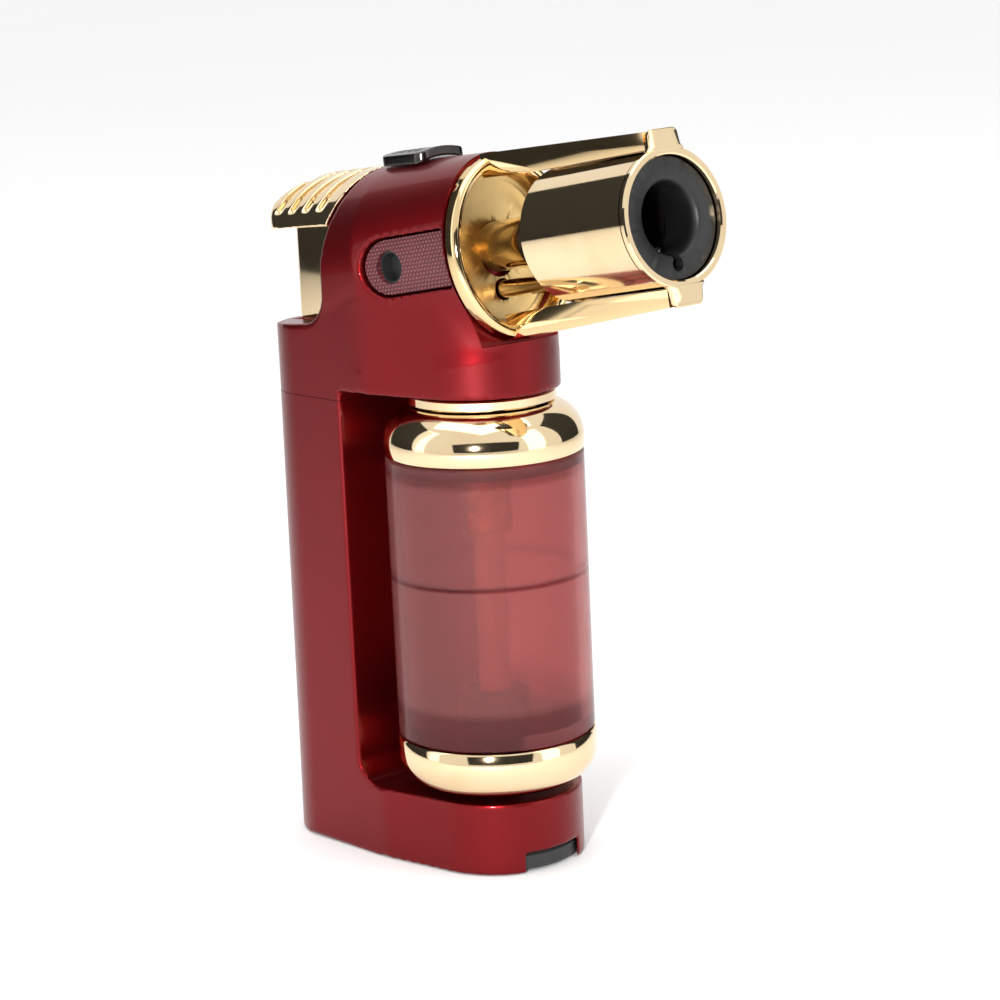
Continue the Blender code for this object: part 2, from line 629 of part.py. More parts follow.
def build_head(mat, axis, nozzle):
    """Head housing: shoulders over the leg, a block over the tank and a barrel towards the nozzle."""
    head = make_object("head_housing", prism(body_outline(HEAD_NOSE_RADIUS), SEAM_Z, BLOCK_TOP),
                       mat["red"], axis)
    boolean(head, make_object("add_barrel", arch_solid(0, HEAD_FRONT, REAR_BACK), None, nozzle), "UNION",
            solver="MANIFOLD")
    fillet = 5.0
    back = [(CHEEK_X + CHEEK_LEAN * 1.2, ridge_z(CHEEK_X) + (ridge_z(CHEEK_X) - CHEEK_FOOT_Z) * 0.2),
            (CHEEK_X, CHEEK_FOOT_Z)]
    back += arc((CHEEK_X - fillet, SHOULDER_Z + fillet), fillet, 0, -90, 6)
    back += [(REAR_X - 5, SHOULDER_Z - 1.4), (REAR_X - 5, NOZZLE_Z + 28), (CHEEK_X, NOZZLE_Z + 28)]
    boolean(head, make_object("cut_back", prism(back, -30, 30, axis="Y"), None, axis), solver="MANIFOLD")
    front = box((-HEAD_FRONT, 30), (-40, 40), (-FLANGE_HALF_HEIGHT - 0.4, 60))
    boolean(head, make_object("cut_front", front, None, nozzle), solver="MANIFOLD")
    step = box((WINDOW_X, 40), (-30, 30), (SEAM_Z - 1, ROOF_Z))
    boolean(head, make_object("cut_step", step, None, axis), solver="MANIFOLD")
    under_shoulder = SHOULDER_Z - 1.4 - WALL
    block = prism(body_outline(HEAD_NOSE_RADIUS, WALL), ROOF_Z + WALL, under_shoulder)
    boolean(head, make_object("cut_block", block, None, axis), solver="MANIFOLD")
    front_round = HEAD_NOSE_RADIUS - WALL
    room = belt([(0, 0, front_round - 1, 12), (FLANK_X / 2, 0, front_round, 12)])
    valve_room = prism(room, ROOF_Z + WALL, BLOCK_TOP - 1)
    boolean(head, make_object("cut_valve_room", valve_room, None, axis), solver="MANIFOLD")
    boolean(head, make_object("cut_barrel", arch_solid(WALL, HEAD_FRONT + 2, CAVITY_BACK), None, nozzle),
            solver="MANIFOLD")
    boolean(head, make_object("cut_head_leg", prism(leg_outline(WALL), SEAM_Z - 1, under_shoulder), None,
                              axis), solver="MANIFOLD")
    slot = box((STEM_BACK_X - SLOT_CLEARANCE, STEM_FRONT_X + SLOT_CLEARANCE),
               (-STEM_HALF_WIDTH - SLOT_CLEARANCE, STEM_HALF_WIDTH + SLOT_CLEARANCE),
               (SEAM_Z + 4, NOZZLE_Z))
    boolean(head, make_object("cut_stem_slot", slot, None, axis), solver="MANIFOLD")
    room_half = LEVER_HALF_WIDTH + 2 * GAP
    lever_room = box((STEM_FRONT_X - 1, FLANK_X / 2), (-room_half, room_half),
                     (ROOF_Z + WALL, LEDGE_Z + 3.6))
    boolean(head, make_object("cut_lever_room", lever_room, None, axis), solver="MANIFOLD")
    neck_hole = OUTLET_RADIUS + 1.2
    boolean(head, make_object("cut_tank_hole", turned([(0, ROOF_Z - 9.9), (neck_hole, ROOF_Z - 9.9),
                                                       (neck_hole, ROOF_Z + 4.1), (0, ROOF_Z + 4.1)],
                                                      sides=24), None, axis), solver="MANIFOLD")
    bore = NECK_TUBE_RADIUS + GAP
    boolean(head, make_object("cut_burner_bore", turned([(0, -40), (bore, -40), (bore, -30), (0, -30)],
                                                        sides=24,
                                                        axis="X"), None, nozzle), solver="MANIFOLD")
    post = POST_RADIUS + GAP
    boolean(head, make_object("cut_post_bore", turned([(0, -40), (post, -40), (post, -30), (0, -30)],
                                                      sides=16,
                                                      axis="X", centre=(0, 0, -POST_DROP)), None, nozzle),
            solver="MANIFOLD")
    recess = prism(stadium(-GAP), -30, 30, axis="Y")
    boolean(head, make_object("cut_panels", recess, None, nozzle), solver="MANIFOLD")
    boolean(head, make_object("cut_slider_slot", box((SLIDER_NECK_X[0] - 0.4,
                                                      SLIDER_NECK_X[1] + SLIDER_TRAVEL + 0.4),
                                                     (-SLIDER_NECK_HALF - 0.4, SLIDER_NECK_HALF + 0.4),
                                                     (-9, 4)),
                              None, axis_of_ridge(axis)), solver="MANIFOLD")


def build_panels(mat, nozzle):
    """Dotted side panels, set back in the head's flanks, each with a screw deep in its hole."""
    for name, low, high in (("side_panel_left", 5, 30), ("side_panel_right", -30, -5)):
        panel = make_object(name, prism(stadium(0), low, high, axis="Y"), mat["maroon"], nozzle)
        outer = arch_solid(PANEL_SETBACK, HEAD_FRONT + 0.1, REAR_BACK)
        boolean(panel, make_object("keep_" + name, outer, None, nozzle), "INTERSECT")
        inner = arch_solid(PANEL_SETBACK + PANEL_THICKNESS, HEAD_FRONT, REAR_BACK + 1)
        boolean(panel, make_object("hollow_" + name, inner, None, nozzle))
        side = 1 if low > 0 else -1
        hole = turned([(0, 0), (PANEL_HOLE_RADIUS, 0), (PANEL_HOLE_RADIUS, 30), (0, 30)], sides=20)
        bmesh.ops.rotate(hole, verts=hole.verts, matrix=Matrix.Rotation(-side * math.pi / 2, 3, "X"))
        bmesh.ops.translate(hole, verts=hole.verts, vec=(-SCREW_BACK, 0, -PANEL_DROP))
        boolean(panel, make_object("hole_" + name, hole, None, nozzle))
        screw = turned([(0, 4), (1.0, 4), (1.0, 8.5), (PANEL_HOLE_RADIUS - GAP, 8.5),
                        (PANEL_HOLE_RADIUS - GAP, 10.2),
                        (0, 10.2)], sides=16)
        bmesh.ops.rotate(screw, verts=screw.verts, matrix=Matrix.Rotation(-side * math.pi / 2, 3, "X"))
        bmesh.ops.translate(screw, verts=screw.verts, vec=(-SCREW_BACK, 0, -PANEL_DROP))
        make_object(name.replace("panel", "screw"), screw, mat["steel"], nozzle)


# ---- lock slider ------------------------------------------------------------------------------
SLIDER_NECK_X = (-13.0, -9.4)
CATCH_FRONT_X = -5.0
SLIDER_NECK_HALF = 1.2
CATCH_THICKNESS = 1.2
RIDGE_FRAMES = {}


def axis_of_ridge(axis):
    """An empty on the head's top line above the tank's axis, turned along that line."""
    if "ridge" not in RIDGE_FRAMES:
        ridge = make_empty("ridge_line", (0, 0, ridge_z(0)), math.radians(RIDGE_TILT))
        ridge.parent = axis
        RIDGE_FRAMES["ridge"] = ridge
    return RIDGE_FRAMES["ridge"]


def build_slider(mat, axis, nozzle):
    """Lock slider: a ribbed saddle on the ridge, its neck through the roof and a catch below."""
    ridge = axis_of_ridge(axis)
    front_x = SLIDER_BACK_X + SLIDER_LENGTH
    end = 1.6
    side = SLIDER_HALF_WIDTH - end
    plan = belt([(SLIDER_BACK_X + end, side, end, 3), (SLIDER_BACK_X + end, -side, end, 3),
                 (front_x - end, -side, end, 3), (front_x - end, side, end, 3)])
    slider = make_object("lock_slider", prism(plan, -4, 6), mat["gunmetal"], ridge)
    over = arch_solid(-SLIDER_HEIGHT, HEAD_FRONT, REAR_BACK)
    boolean(slider, make_object("keep_slider", over, None, nozzle), "INTERSECT", "MANIFOLD")
    under = arch_solid(-GAP, HEAD_FRONT, REAR_BACK)
    boolean(slider, make_object("hollow_slider", under, None, nozzle), solver="MANIFOLD")
    for i in range(GROOVES):
        x = SLIDER_BACK_X + 1.9 + i * 1.6
        groove = box((x, x + 0.7), (-3.2, 3.2), (SLIDER_HEIGHT - 0.6, SLIDER_HEIGHT + 3))
        boolean(slider, make_object("cut_slider_groove_%d" % i, groove, None, ridge), solver="MANIFOLD")
    neck = box(SLIDER_NECK_X, (-SLIDER_NECK_HALF, SLIDER_NECK_HALF), (-WALL - GAP - 0.6, 1.0))
    boolean(slider, make_object("add_slider_neck", neck, None, ridge), "UNION", "MANIFOLD")
    top = -WALL - 2 * GAP - 0.6
    catch = box((SLIDER_NECK_X[0], CATCH_FRONT_X), (-3, 3), (top - CATCH_THICKNESS, top))
    make_object("lock_catch", catch, mat["steel"], ridge)


# ---- trigger and igniter ----------------------------------------------------------------------
PIEZO_X = -24.6
PIEZO_HALF_LENGTH = 4.2
PIEZO_HALF_WIDTH = 4.5
PIEZO_Z = ROOF_Z - 19.9
PIEZO_TOP = ROOF_Z + 8.1
PLUNGER_RADIUS = 2.5
SPRING_RADIUS = 3.7
SPRING_WIRE = 0.4
SPRING_TURNS = 6
STEM_TOP = LIP_Z + 1.6
LEDGE_REACH = 2.9


def cap_outline(inset):
    """Side view of the thumb cap: a straight lip, a round rear and the head's top line."""
    slope = math.tan(math.radians(LIP_TILT))
    front_low = cheek_x(LIP_Z) - 2 * GAP - 0.2
    front_high = cheek_x(ridge_z(CHEEK_X)) - 2 * GAP - 0.2
    rear = CAP_REAR_X + inset
    lip_rear = LIP_Z + (rear - front_low) * slope
    centre = (rear + CAP_ROUND - inset, ridge_z(rear + CAP_ROUND) - CAP_ROUND)
    points = [(front_low - inset, LIP_Z + inset), (front_high - inset, ridge_z(front_high) + 3)]
    points += arc(centre, CAP_ROUND - inset, 90, 180, 9)
    points += [(rear, lip_rear + inset)]
    return points


def build_trigger(mat, axis, nozzle):
    """Trigger: a ribbed thumb cap on a hollow square stem, over the piezo igniter."""
    cap = make_object("trigger_cap", prism(cap_outline(0), -14, 14, axis="Y"), mat["gold"], axis)
    corner = CAP_CORNER_RADIUS
    wide = REAR_HALF_WIDTH - 2.2
    plan = belt([(0, wide - 1, 1, 2), (CAP_REAR_X + corner, wide - corner, corner, 6),
                 (CAP_REAR_X + corner, corner - wide, corner, 6), (0, 1 - wide, 1, 2)])
    boolean(cap, make_object("keep_cap_plan", prism(plan, 80, 120), None, axis), "INTERSECT", "MANIFOLD")
    outer = arch_solid(0.15, FLANK_BACK, TAIL_BACK)
    boolean(cap, make_object("keep_cap", outer, None, nozzle), "INTERSECT", "MANIFOLD")
    pocket = box((STEM_BACK_X - GAP, STEM_FRONT_X + 3), (-STEM_HALF_WIDTH - GAP, STEM_HALF_WIDTH + GAP),
                 (LIP_Z - 9, STEM_TOP + GAP))
    for i in range(GROOVES):
        x = CAP_REAR_X + 2.2 + i * GROOVE_PITCH
        slab = box((x, x + GROOVE_WIDTH), (-16, 16), (LIP_Z + LIP_HEIGHT - 2.4 + i * 0.5, NOZZLE_Z + 13))
        groove = make_object("cut_groove_%d" % i, slab, None, axis)
        core = make_object("core_%d" % i, prism(cap_outline(GROOVE_DEPTH), -13, 13, axis="Y"), None, axis)
        boolean(core, make_object("keep_core_%d" % i, arch_solid(0.15 + GROOVE_DEPTH, FLANK_BACK,
                                                                 TAIL_BACK),
                                  None, nozzle), "INTERSECT", "MANIFOLD")
        boolean(groove, core, solver="MANIFOLD")
        boolean(cap, groove, solver="MANIFOLD")
    boolean(cap, make_object("cut_cap_pocket", pocket, None, axis), solver="MANIFOLD")

    corner = 1.5
    half = STEM_HALF_WIDTH - corner
    plan = belt([(STEM_FRONT_X - corner, -half, corner, 3), (STEM_FRONT_X - corner, half, corner, 3),
                 (STEM_BACK_X + corner, half, corner, 3), (STEM_BACK_X + corner, -half, corner, 3)])
    stem = make_object("trigger_stem", prism(plan, STEM_FOOT_Z, STEM_TOP), mat["gold"], axis)
    ledge = box((STEM_FRONT_X - 1, STEM_FRONT_X + LEDGE_REACH), (-2.5, 2.5), (LEDGE_Z, LEDGE_Z + 3))
    boolean(stem, make_object("add_ledge", ledge, None, axis), "UNION")
    inside = box((STEM_BACK_X + STEM_WALL, STEM_FRONT_X - STEM_WALL),
                 (-STEM_HALF_WIDTH + STEM_WALL, STEM_HALF_WIDTH - STEM_WALL),
                 (STEM_FOOT_Z - 1, STEM_TOP - 2))
    boolean(stem, make_object("cut_stem", inside, None, axis))

    roof = STEM_TOP - 2
    bore = PLUNGER_RADIUS + GAP
    piezo = make_object("piezo_body", box((PIEZO_X - PIEZO_HALF_LENGTH, PIEZO_X + PIEZO_HALF_LENGTH),
                                          (-PIEZO_HALF_WIDTH, PIEZO_HALF_WIDTH), (PIEZO_Z, PIEZO_TOP)),
                        mat["black"], axis)
    well = PIEZO_TOP - 12 - TRIGGER_TRAVEL
    boolean(piezo, make_object("cut_piezo", turned([(0, well), (bore, well), (bore, STEM_TOP),
                                                    (0, STEM_TOP)],
                                                   sides=20,
                                                   centre=(PIEZO_X, 0, 0)), None, axis))
    plunger = turned([(0, PIEZO_TOP - 11), (PLUNGER_RADIUS, PIEZO_TOP - 11), (PLUNGER_RADIUS, roof - GAP),
                      (0, roof - GAP)], sides=20)
    make_object("piezo_plunger", plunger, mat["black"], axis, (PIEZO_X, 0, 0))
    low = PIEZO_TOP + GAP + SPRING_WIRE
    high = roof - GAP - SPRING_WIRE
    line = []
    steps = SPRING_TURNS * 10
    for i in range(steps + 1):
        turn = 2 * math.pi * i / 10
        line.append((PIEZO_X + SPRING_RADIUS * math.cos(turn), SPRING_RADIUS * math.sin(turn),
                     low + (high - low) * i / steps))
    tube_plain("trigger_spring", line, SPRING_WIRE, mat["steel"], axis)

    holder = prism(leg_outline(WALL + GAP), PIEZO_Z - GAP - 2.4, PIEZO_Z - GAP)
    make_object("piezo_holder", holder, mat["black"], axis)
    exit_y = PIEZO_HALF_WIDTH + GAP + 0.7
    post_x = NOZZLE_X - (FLANGE_BACK + 3.4) * math.cos(TILT) + POST_DROP * math.sin(TILT)
    post_z = NOZZLE_Z - (FLANGE_BACK + 3.4) * math.sin(TILT) - POST_DROP * math.cos(TILT)
    tube("ignition_wire", [(PIEZO_X, exit_y, ROOF_Z - 16.9), (PIEZO_X, 9.6, ROOF_Z - 11.9),
                           (PIEZO_X, 10.3, ROOF_Z - 2.9), (-21, 10.3, ROOF_Z + 3.3),
                           (-13, 9.4, ROOF_Z + 4.3), (-5, 7.4, ROOF_Z + 6.3), (0, 5.6, ROOF_Z + 10.9),
                           (post_x - 1.2, 1.6, post_z - 0.9),
                           (post_x - 0.4, 0.0, post_z)], 0.6, mat["rubber"], axis)


def tube_plain(name, line, radius, material, parent):
    """A bar along points that already lie on a smooth line."""
    curve = bpy.data.curves.new(name, "CURVE")
    curve.dimensions = "3D"
    curve.bevel_depth = radius * MM
    curve.bevel_resolution = 1
    curve.use_fill_caps = True
    spline = curve.splines.new("POLY")
    spline.points.add(len(line) - 1)
    for vertex, point in zip(spline.points, line):
        vertex.co = (*(Vector(point) * MM), 1.0)
    thing = bpy.data.objects.new(name, curve)
    bpy.context.collection.objects.link(thing)
    thing.parent = parent
    curve.materials.append(material)
    return thing


# ---- burner -----------------------------------------------------------------------------------
def build_burner(mat, nozzle):
    """Burner: jet, neck, flame tube and barrel on the nozzle's axis, with the electrode below it."""
    neck_back = FLANGE_BACK + 2.6
    neck_front = BARREL_LENGTH - 2
    bore = NECK_TUBE_RADIUS - NECK_TUBE_WALL
    bell = 5.3
    neck = [(bore, -neck_back), (NECK_TUBE_RADIUS, -neck_back), (NECK_TUBE_RADIUS, -neck_front - 3.0),
            (bell, -neck_front - 1.5), (bell, -neck_front), (bore, -neck_front)]
    make_object("burner_neck", turned(neck, sides=24, axis="X"), mat["gunmetal"], nozzle)

    holder_back = neck_back + 9
    holder = [(0.6, -holder_back), (3.2, -holder_back), (3.2, -neck_back - GAP), (0.6, -neck_back - GAP)]
    make_object("jet_holder", turned(holder, sides=20, axis="X"), mat["brass"], nozzle)
    jet = [(0.4, -neck_back), (bore - GAP, -neck_back), (bore - GAP, -neck_back + 3),
           (0.4, -neck_back + 3.6)]
    make_object("jet", turned(jet, sides=16, axis="X"), mat["brass"], nozzle)

    tube_back = neck_front - GAP
    tube_front = INSERT_SETBACK + INSERT_LENGTH + GAP
    tube_bore = INSERT_BORE - 0.1
    flame_tube = [(tube_bore, -tube_back), (bell, -tube_back), (bell, -tube_front),
                  (tube_bore, -tube_front)]
    make_object("flame_tube", turned(flame_tube, sides=32, axis="X"), mat["steel"], nozzle)
    screen_radius = tube_bore - GAP
    screen = [(0.5, -13.0), (screen_radius, -13.0), (screen_radius, -12.2), (0.5, -12.2)]
    make_object("flame_screen", turned(screen, sides=24, axis="X"), mat["steel"], nozzle)

    inner = BARREL_RADIUS - BARREL_WALL
    spacer_outer = inner - GAP
    spacer = make_object("barrel_spacer", turned([(bell + GAP, -neck_front - 1.5),
                                                  (spacer_outer, -neck_front - 1.5),
                                                  (spacer_outer, -neck_front), (bell + GAP, -neck_front)],
                                                 sides=32, axis="X"), mat["gunmetal"], nozzle)
    boolean(spacer, make_object("cut_spacer", box((-30, -10), (-1.0, 1.0),
                                                  (-POST_DROP - 1.0, -POST_DROP + 2)),
                                None, nozzle))
    barrel = [(inner, -BARREL_LENGTH), (BARREL_RADIUS, -BARREL_LENGTH),
              (BARREL_RADIUS, -PLATE_THICKNESS - GAP),
              (inner, -PLATE_THICKNESS - GAP)]
    make_object("burner_barrel", turned(barrel, sides=40, axis="X"), mat["gold"], nozzle)

    plate = make_object("front_plate", turned([(INSERT_RING, -PLATE_THICKNESS),
                                               (BARREL_RADIUS + 0.1, -PLATE_THICKNESS),
                                               (BARREL_RADIUS + 0.1, 0), (INSERT_RING, 0)], sides=40,
                                              axis="X"),
                        mat["gold"], nozzle)
    for side, name in ((1, "top"), (-1, "bottom")):
        foot = BARREL_RADIUS - 0.7
        outline = [(-TAB_HALF_WIDTH - 0.6, foot), (TAB_HALF_WIDTH + 0.6, foot),
                   (TAB_HALF_WIDTH, foot + 1.4)]
        outline += arc((TAB_HALF_WIDTH - 0.9, TAB_HEIGHT - 0.9), 0.9, 0, 90, 3)
        outline += arc((0.9 - TAB_HALF_WIDTH, TAB_HEIGHT - 0.9), 0.9, 90, 180, 3)
        outline += [(-TAB_HALF_WIDTH, foot + 1.4)]
        tab = loft([[(level, y, side * h) for y, h in outline] for level in (-PLATE_THICKNESS, 0)])
        boolean(plate, make_object("add_tab_" + name, tab, None, nozzle), "UNION")

    insert = [(INSERT_BORE, -INSERT_SETBACK - INSERT_LENGTH),
              (inner - GAP, -INSERT_SETBACK - INSERT_LENGTH),
              (inner - GAP, -INSERT_SETBACK), (INSERT_BORE + 0.3, -INSERT_SETBACK),
              (INSERT_BORE, -INSERT_SETBACK - 0.3)]
    nose = make_object("nozzle_insert", turned(insert, sides=32, axis="X"), mat["black"], nozzle)
    key = box((-20, 0), (-0.8, 0.8), (-POST_DROP - 0.8, -INSERT_BORE + 1))
    boolean(nose, make_object("cut_key", key, None, nozzle))

    post_back = FLANGE_BACK + 2.6
    hollow = 0.8
    post = [(hollow, -post_back), (POST_RADIUS, -post_back), (POST_RADIUS, -25.4),
            (POST_RADIUS + 0.45, -25.4),
            (POST_RADIUS + 0.45, -BARREL_LENGTH - 0.5), (hollow, -BARREL_LENGTH - 0.5)]
    make_object("electrode_post", turned(post, sides=16, axis="X", centre=(0, 0, -POST_DROP)),
                mat["brass"], nozzle)
    tube("electrode", [(-post_back, 0, -POST_DROP), (-20, 0, -POST_DROP), (-8, 0, -POST_DROP),
                       (-5.6, 0, -5.6),
                       (-4.4, 0, -3.8)], 0.45, mat["steel"], nozzle)



# ---- guard ------------------------------------------------------------------------------------
def oval(back, half_width, half_height, drop=FLANGE_DROP, count=40):
    """One ring of the flange, square to the nozzle's axis."""
    turns = [2 * math.pi * i / count for i in range(count)]
    return [(-back, half_width * math.cos(t), half_height * math.sin(t) - drop) for t in turns]


def build_guard(mat, nozzle):
    """Nozzle guard: a dished oval flange with a rail above and below the barrel, in one casting."""
    front = FLANGE_BACK - FLANGE_THICKNESS
    width, height, rim = FLANGE_HALF_WIDTH, FLANGE_HALF_HEIGHT, FLANGE_RIM
    hole = NECK_TUBE_RADIUS + 0.6
    rings = [oval(FLANGE_BACK, width - 0.4, height - 0.4),
             oval(FLANGE_BACK - 0.5, width, height),
             oval(front + 0.5, width, height),
             oval(front, width - 0.5, height - 0.5),
             oval(front, width - rim + 0.3, height - rim + 0.3),
             oval(front + 0.6, width - rim - 0.2, height - rim - 0.2),
             oval(FLANGE_BACK - 1.0, width - rim - 2.2, height - rim - 2.4),
             oval(FLANGE_BACK - 0.8, hole, hole, 0),
             oval(FLANGE_BACK, hole, hole, 0)]
    guard = make_object("nozzle_guard", loft(rings, closed=True), mat["gold"], nozzle)
    inner = BARREL_RADIUS - 0.9
    for side, name in ((1, "top"), (-1, "bottom")):
        rail_front = -PLATE_THICKNESS - GAP
        rail_back = -FLANGE_BACK + 0.5
        rail_top = side * (height - 0.1) - (FLANGE_DROP if side < 0 else 0)
        outline = [(rail_back, side * (height - 3.6)), (rail_front, side * inner),
                   (rail_front, side * (TAB_HEIGHT - 0.2)), (rail_back, rail_top)]
        rail = make_object("add_rail_" + name, prism(outline, -RAIL_HALF_WIDTH, RAIL_HALF_WIDTH,
                                                     axis="Y"),
                           None, nozzle)
        boolean(guard, rail, "UNION", "MANIFOLD")
    room = BARREL_RADIUS + GAP
    room_back = -BARREL_LENGTH - 2 * GAP
    barrel = turned([(0, room_back), (room, room_back), (room, 5), (0, 5)], sides=40, axis="X")
    boolean(guard, make_object("cut_rails", barrel, None, nozzle), solver="MANIFOLD")
    post = POST_RADIUS + GAP
    post_hole = turned([(0, -40), (post, -40), (post, -30), (0, -30)], sides=16, axis="X",
                       centre=(0, 0, -POST_DROP))
    boolean(guard, make_object("cut_guard_post", post_hole, None, nozzle), solver="MANIFOLD")


# ---- build ------------------------------------------------------------------------------------
def build():
    clear_scene()
    mat = make_materials()
    axis = make_empty("tank_axis", (TANK_X, 0, 0))
    nozzle = make_empty("nozzle_front", (NOZZLE_X, 0, NOZZLE_Z), TILT)
    nozzle.parent = axis
    build_handle(mat, axis)
    build_tank(mat, axis)
    build_valve(mat, axis)
    build_head(mat, axis, nozzle)
    build_panels(mat, nozzle)
    build_slider(mat, axis, nozzle)
    build_trigger(mat, axis, nozzle)
    build_burner(mat, nozzle)
    build_guard(mat, nozzle)
    bpy.context.view_layer.update()


build()
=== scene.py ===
"""Butane torch for jewellery making, shown on a pale studio floor.

The sections follow the torch as it is put together: handle, tank, head, igniter trigger, burner,
guard. Sizes are in millimetres, measured from the tank's axis and from the surface the torch stands
on, or from the centre of the nozzle's front face.
"""
import math

import bmesh
import bpy
from mathutils import Matrix, Vector


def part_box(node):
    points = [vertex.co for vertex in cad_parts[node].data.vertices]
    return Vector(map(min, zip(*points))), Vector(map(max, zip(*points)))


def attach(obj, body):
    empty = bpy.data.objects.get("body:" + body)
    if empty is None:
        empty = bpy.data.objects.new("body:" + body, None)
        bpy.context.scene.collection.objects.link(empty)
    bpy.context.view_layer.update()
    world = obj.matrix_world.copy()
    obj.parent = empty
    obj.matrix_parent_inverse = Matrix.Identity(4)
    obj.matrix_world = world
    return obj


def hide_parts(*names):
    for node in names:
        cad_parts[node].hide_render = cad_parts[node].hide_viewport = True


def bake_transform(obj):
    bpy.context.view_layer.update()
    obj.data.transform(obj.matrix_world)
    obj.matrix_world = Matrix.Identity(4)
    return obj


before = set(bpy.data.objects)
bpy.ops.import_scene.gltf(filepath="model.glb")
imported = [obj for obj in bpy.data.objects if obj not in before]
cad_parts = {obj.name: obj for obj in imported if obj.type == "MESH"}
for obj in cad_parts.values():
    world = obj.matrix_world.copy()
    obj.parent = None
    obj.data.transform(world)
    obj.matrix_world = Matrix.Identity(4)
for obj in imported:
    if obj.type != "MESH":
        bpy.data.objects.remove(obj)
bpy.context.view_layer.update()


# ---- handle frame ------------------------------------------------------------------------------
# Rear leg and foot, one zinc die casting. It is linished, flashed with a metallic base coat and
# sprayed with a clear candy red, so its highlights stay red. The tank stands in its open window.
tank_low, tank_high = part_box("tank_shell")
UPRIGHT = Matrix.Translation(((tank_low.x + tank_high.x) / 2, 0, 0)) @ Matrix.Scale(0.001, 4)
SEAM = 68.3


class Tone:
    """An output of a shader node that takes part in Python sums."""

    def __init__(self, finish, socket):
        self.finish = finish
        self.socket = socket

    def math_node(self, operation, *terms, clamp=False):
        values = {i: term for i, term in enumerate(terms)}
        return self.finish.node("ShaderNodeMath", {"operation": operation, "use_clamp": clamp}, values)

    def __add__(self, other):
        return self.math_node("ADD", self, other)

    def __radd__(self, other):
        return self.math_node("ADD", other, self)

    def __sub__(self, other):
        return self.math_node("SUBTRACT", self, other)

    def __rsub__(self, other):
        return self.math_node("SUBTRACT", other, self)

    def __mul__(self, other):
        return self.math_node("MULTIPLY", self, other)

    def __rmul__(self, other):
        return self.math_node("MULTIPLY", other, self)

    def __truediv__(self, other):
        return self.math_node("DIVIDE", self, other)

    def __abs__(self):
        return self.math_node("ABSOLUTE", self)

    def fraction(self):
        return self.math_node("FRACT", self)

    def least(self, other):
        return self.math_node("MINIMUM", self, other)

    def ramp(self, low, high):
        """0 below low, 1 above high, and smooth between them."""
        values = {"Value": self, "From Min": low, "From Max": high}
        return self.finish.node("ShaderNodeMapRange", {"interpolation_type": "SMOOTHSTEP"}, values)


class Finish:
    """A material whose nodes are made by node(), and whose surface is one Principled shader."""

    def __init__(self, name):
        self.material = bpy.data.materials.new(name)
        self.material.use_nodes = True
        self.tree = self.material.node_tree
        self.tree.nodes.clear()
        self.spot = self.node("ShaderNodeTexCoord", output="Object")

    def node(self, kind, settings=None, values=None, output=0):
        made = self.tree.nodes.new(kind)
        for name, setting in (settings or {}).items():
            setattr(made, name, setting)
        for name, value in (values or {}).items():
            if isinstance(value, Tone):
                self.tree.links.new(value.socket, made.inputs[name])
            else:
                made.inputs[name].default_value = value
        return Tone(self, made.outputs[output])

    def noise(self, size_mm, detail=3.0, stretch=(1, 1, 1)):
        """Cloudy noise from 0 to 1, with lumps about size_mm across."""
        place = self.node("ShaderNodeMapping", None, {"Vector": self.spot, "Scale": stretch})
        scale = 1000.0 / size_mm
        return self.node("ShaderNodeTexNoise", None, {"Vector": place, "Scale": scale,
                                                      "Detail": detail})

    def blend(self, share, first, second):
        """A colour that goes from first to second as share goes from 0 to 1."""
        values = {0: share, 6: first, 7: second}
        return self.node("ShaderNodeMix", {"data_type": "RGBA"}, values, output=2)

    def bump(self, height, depth_mm, strength=1.0):
        values = {"Height": height, "Distance": depth_mm / 1000.0, "Strength": strength}
        return self.node("ShaderNodeBump", None, values)

    def surface(self, **values):
        """Gives the Principled shader its values. Underscores stand for the spaces in the names."""
        names = {name.replace("_", " "): value for name, value in values.items()}
        shader = self.node("ShaderNodeBsdfPrincipled", None, names)
        sink = self.tree.nodes.new("ShaderNodeOutputMaterial")
        self.tree.links.new(shader.socket, sink.inputs["Surface"])
        return self.material


def sheet_colour(red, green, blue):
    """A colour given as 0 to 255 on a colour card, in the linear light that shaders use."""
    linear = [(c / 255 / 12.92) if c < 11 else ((c / 255 + 0.055) / 1.055) ** 2.4 for c in (red, green,
                                                                                            blue)]
    return (*linear, 1.0)


def candy_red():
    """Clear red over a silver base coat: fine flake, a little orange peel, thinner on worn edges."""
    paint = Finish("candy_red")
    flake = paint.noise(0.12, 1.0)
    depth = paint.noise(14.0, 4.0)
    peel = paint.noise(1.6, 2.0)
    colour = paint.blend(depth * 0.5 + flake * 0.5, sheet_colour(104, 6, 12), sheet_colour(128, 12, 20))
    worn = (paint.node("ShaderNodeNewGeometry", output="Pointiness") - 0.56).ramp(0.0, 0.07)
    colour = paint.blend(worn * 0.35, colour, sheet_colour(158, 36, 40))
    return paint.surface(Base_Color=colour, Metallic=0.92, Roughness=0.33 + flake * 0.07 - worn * 0.06,
                         Normal=paint.bump(peel * 0.7 + flake * 0.3, 0.010, 0.5),
                         Coat_Weight=0.3, Coat_Roughness=0.07, Coat_IOR=1.45)


def black_plastic():
    """Moulded black nylon: a fine spark-eroded texture, slightly greyer where it has been rubbed."""
    plastic = Finish("black_plastic")
    grain = plastic.noise(0.25, 2.0)
    cloud = plastic.noise(7.0)
    colour = plastic.blend(cloud, sheet_colour(24, 24, 25), sheet_colour(42, 42, 44))
    return plastic.surface(Base_Color=colour, Roughness=0.38 + grain * 0.18,
                           Normal=plastic.bump(grain, 0.02, 0.6))


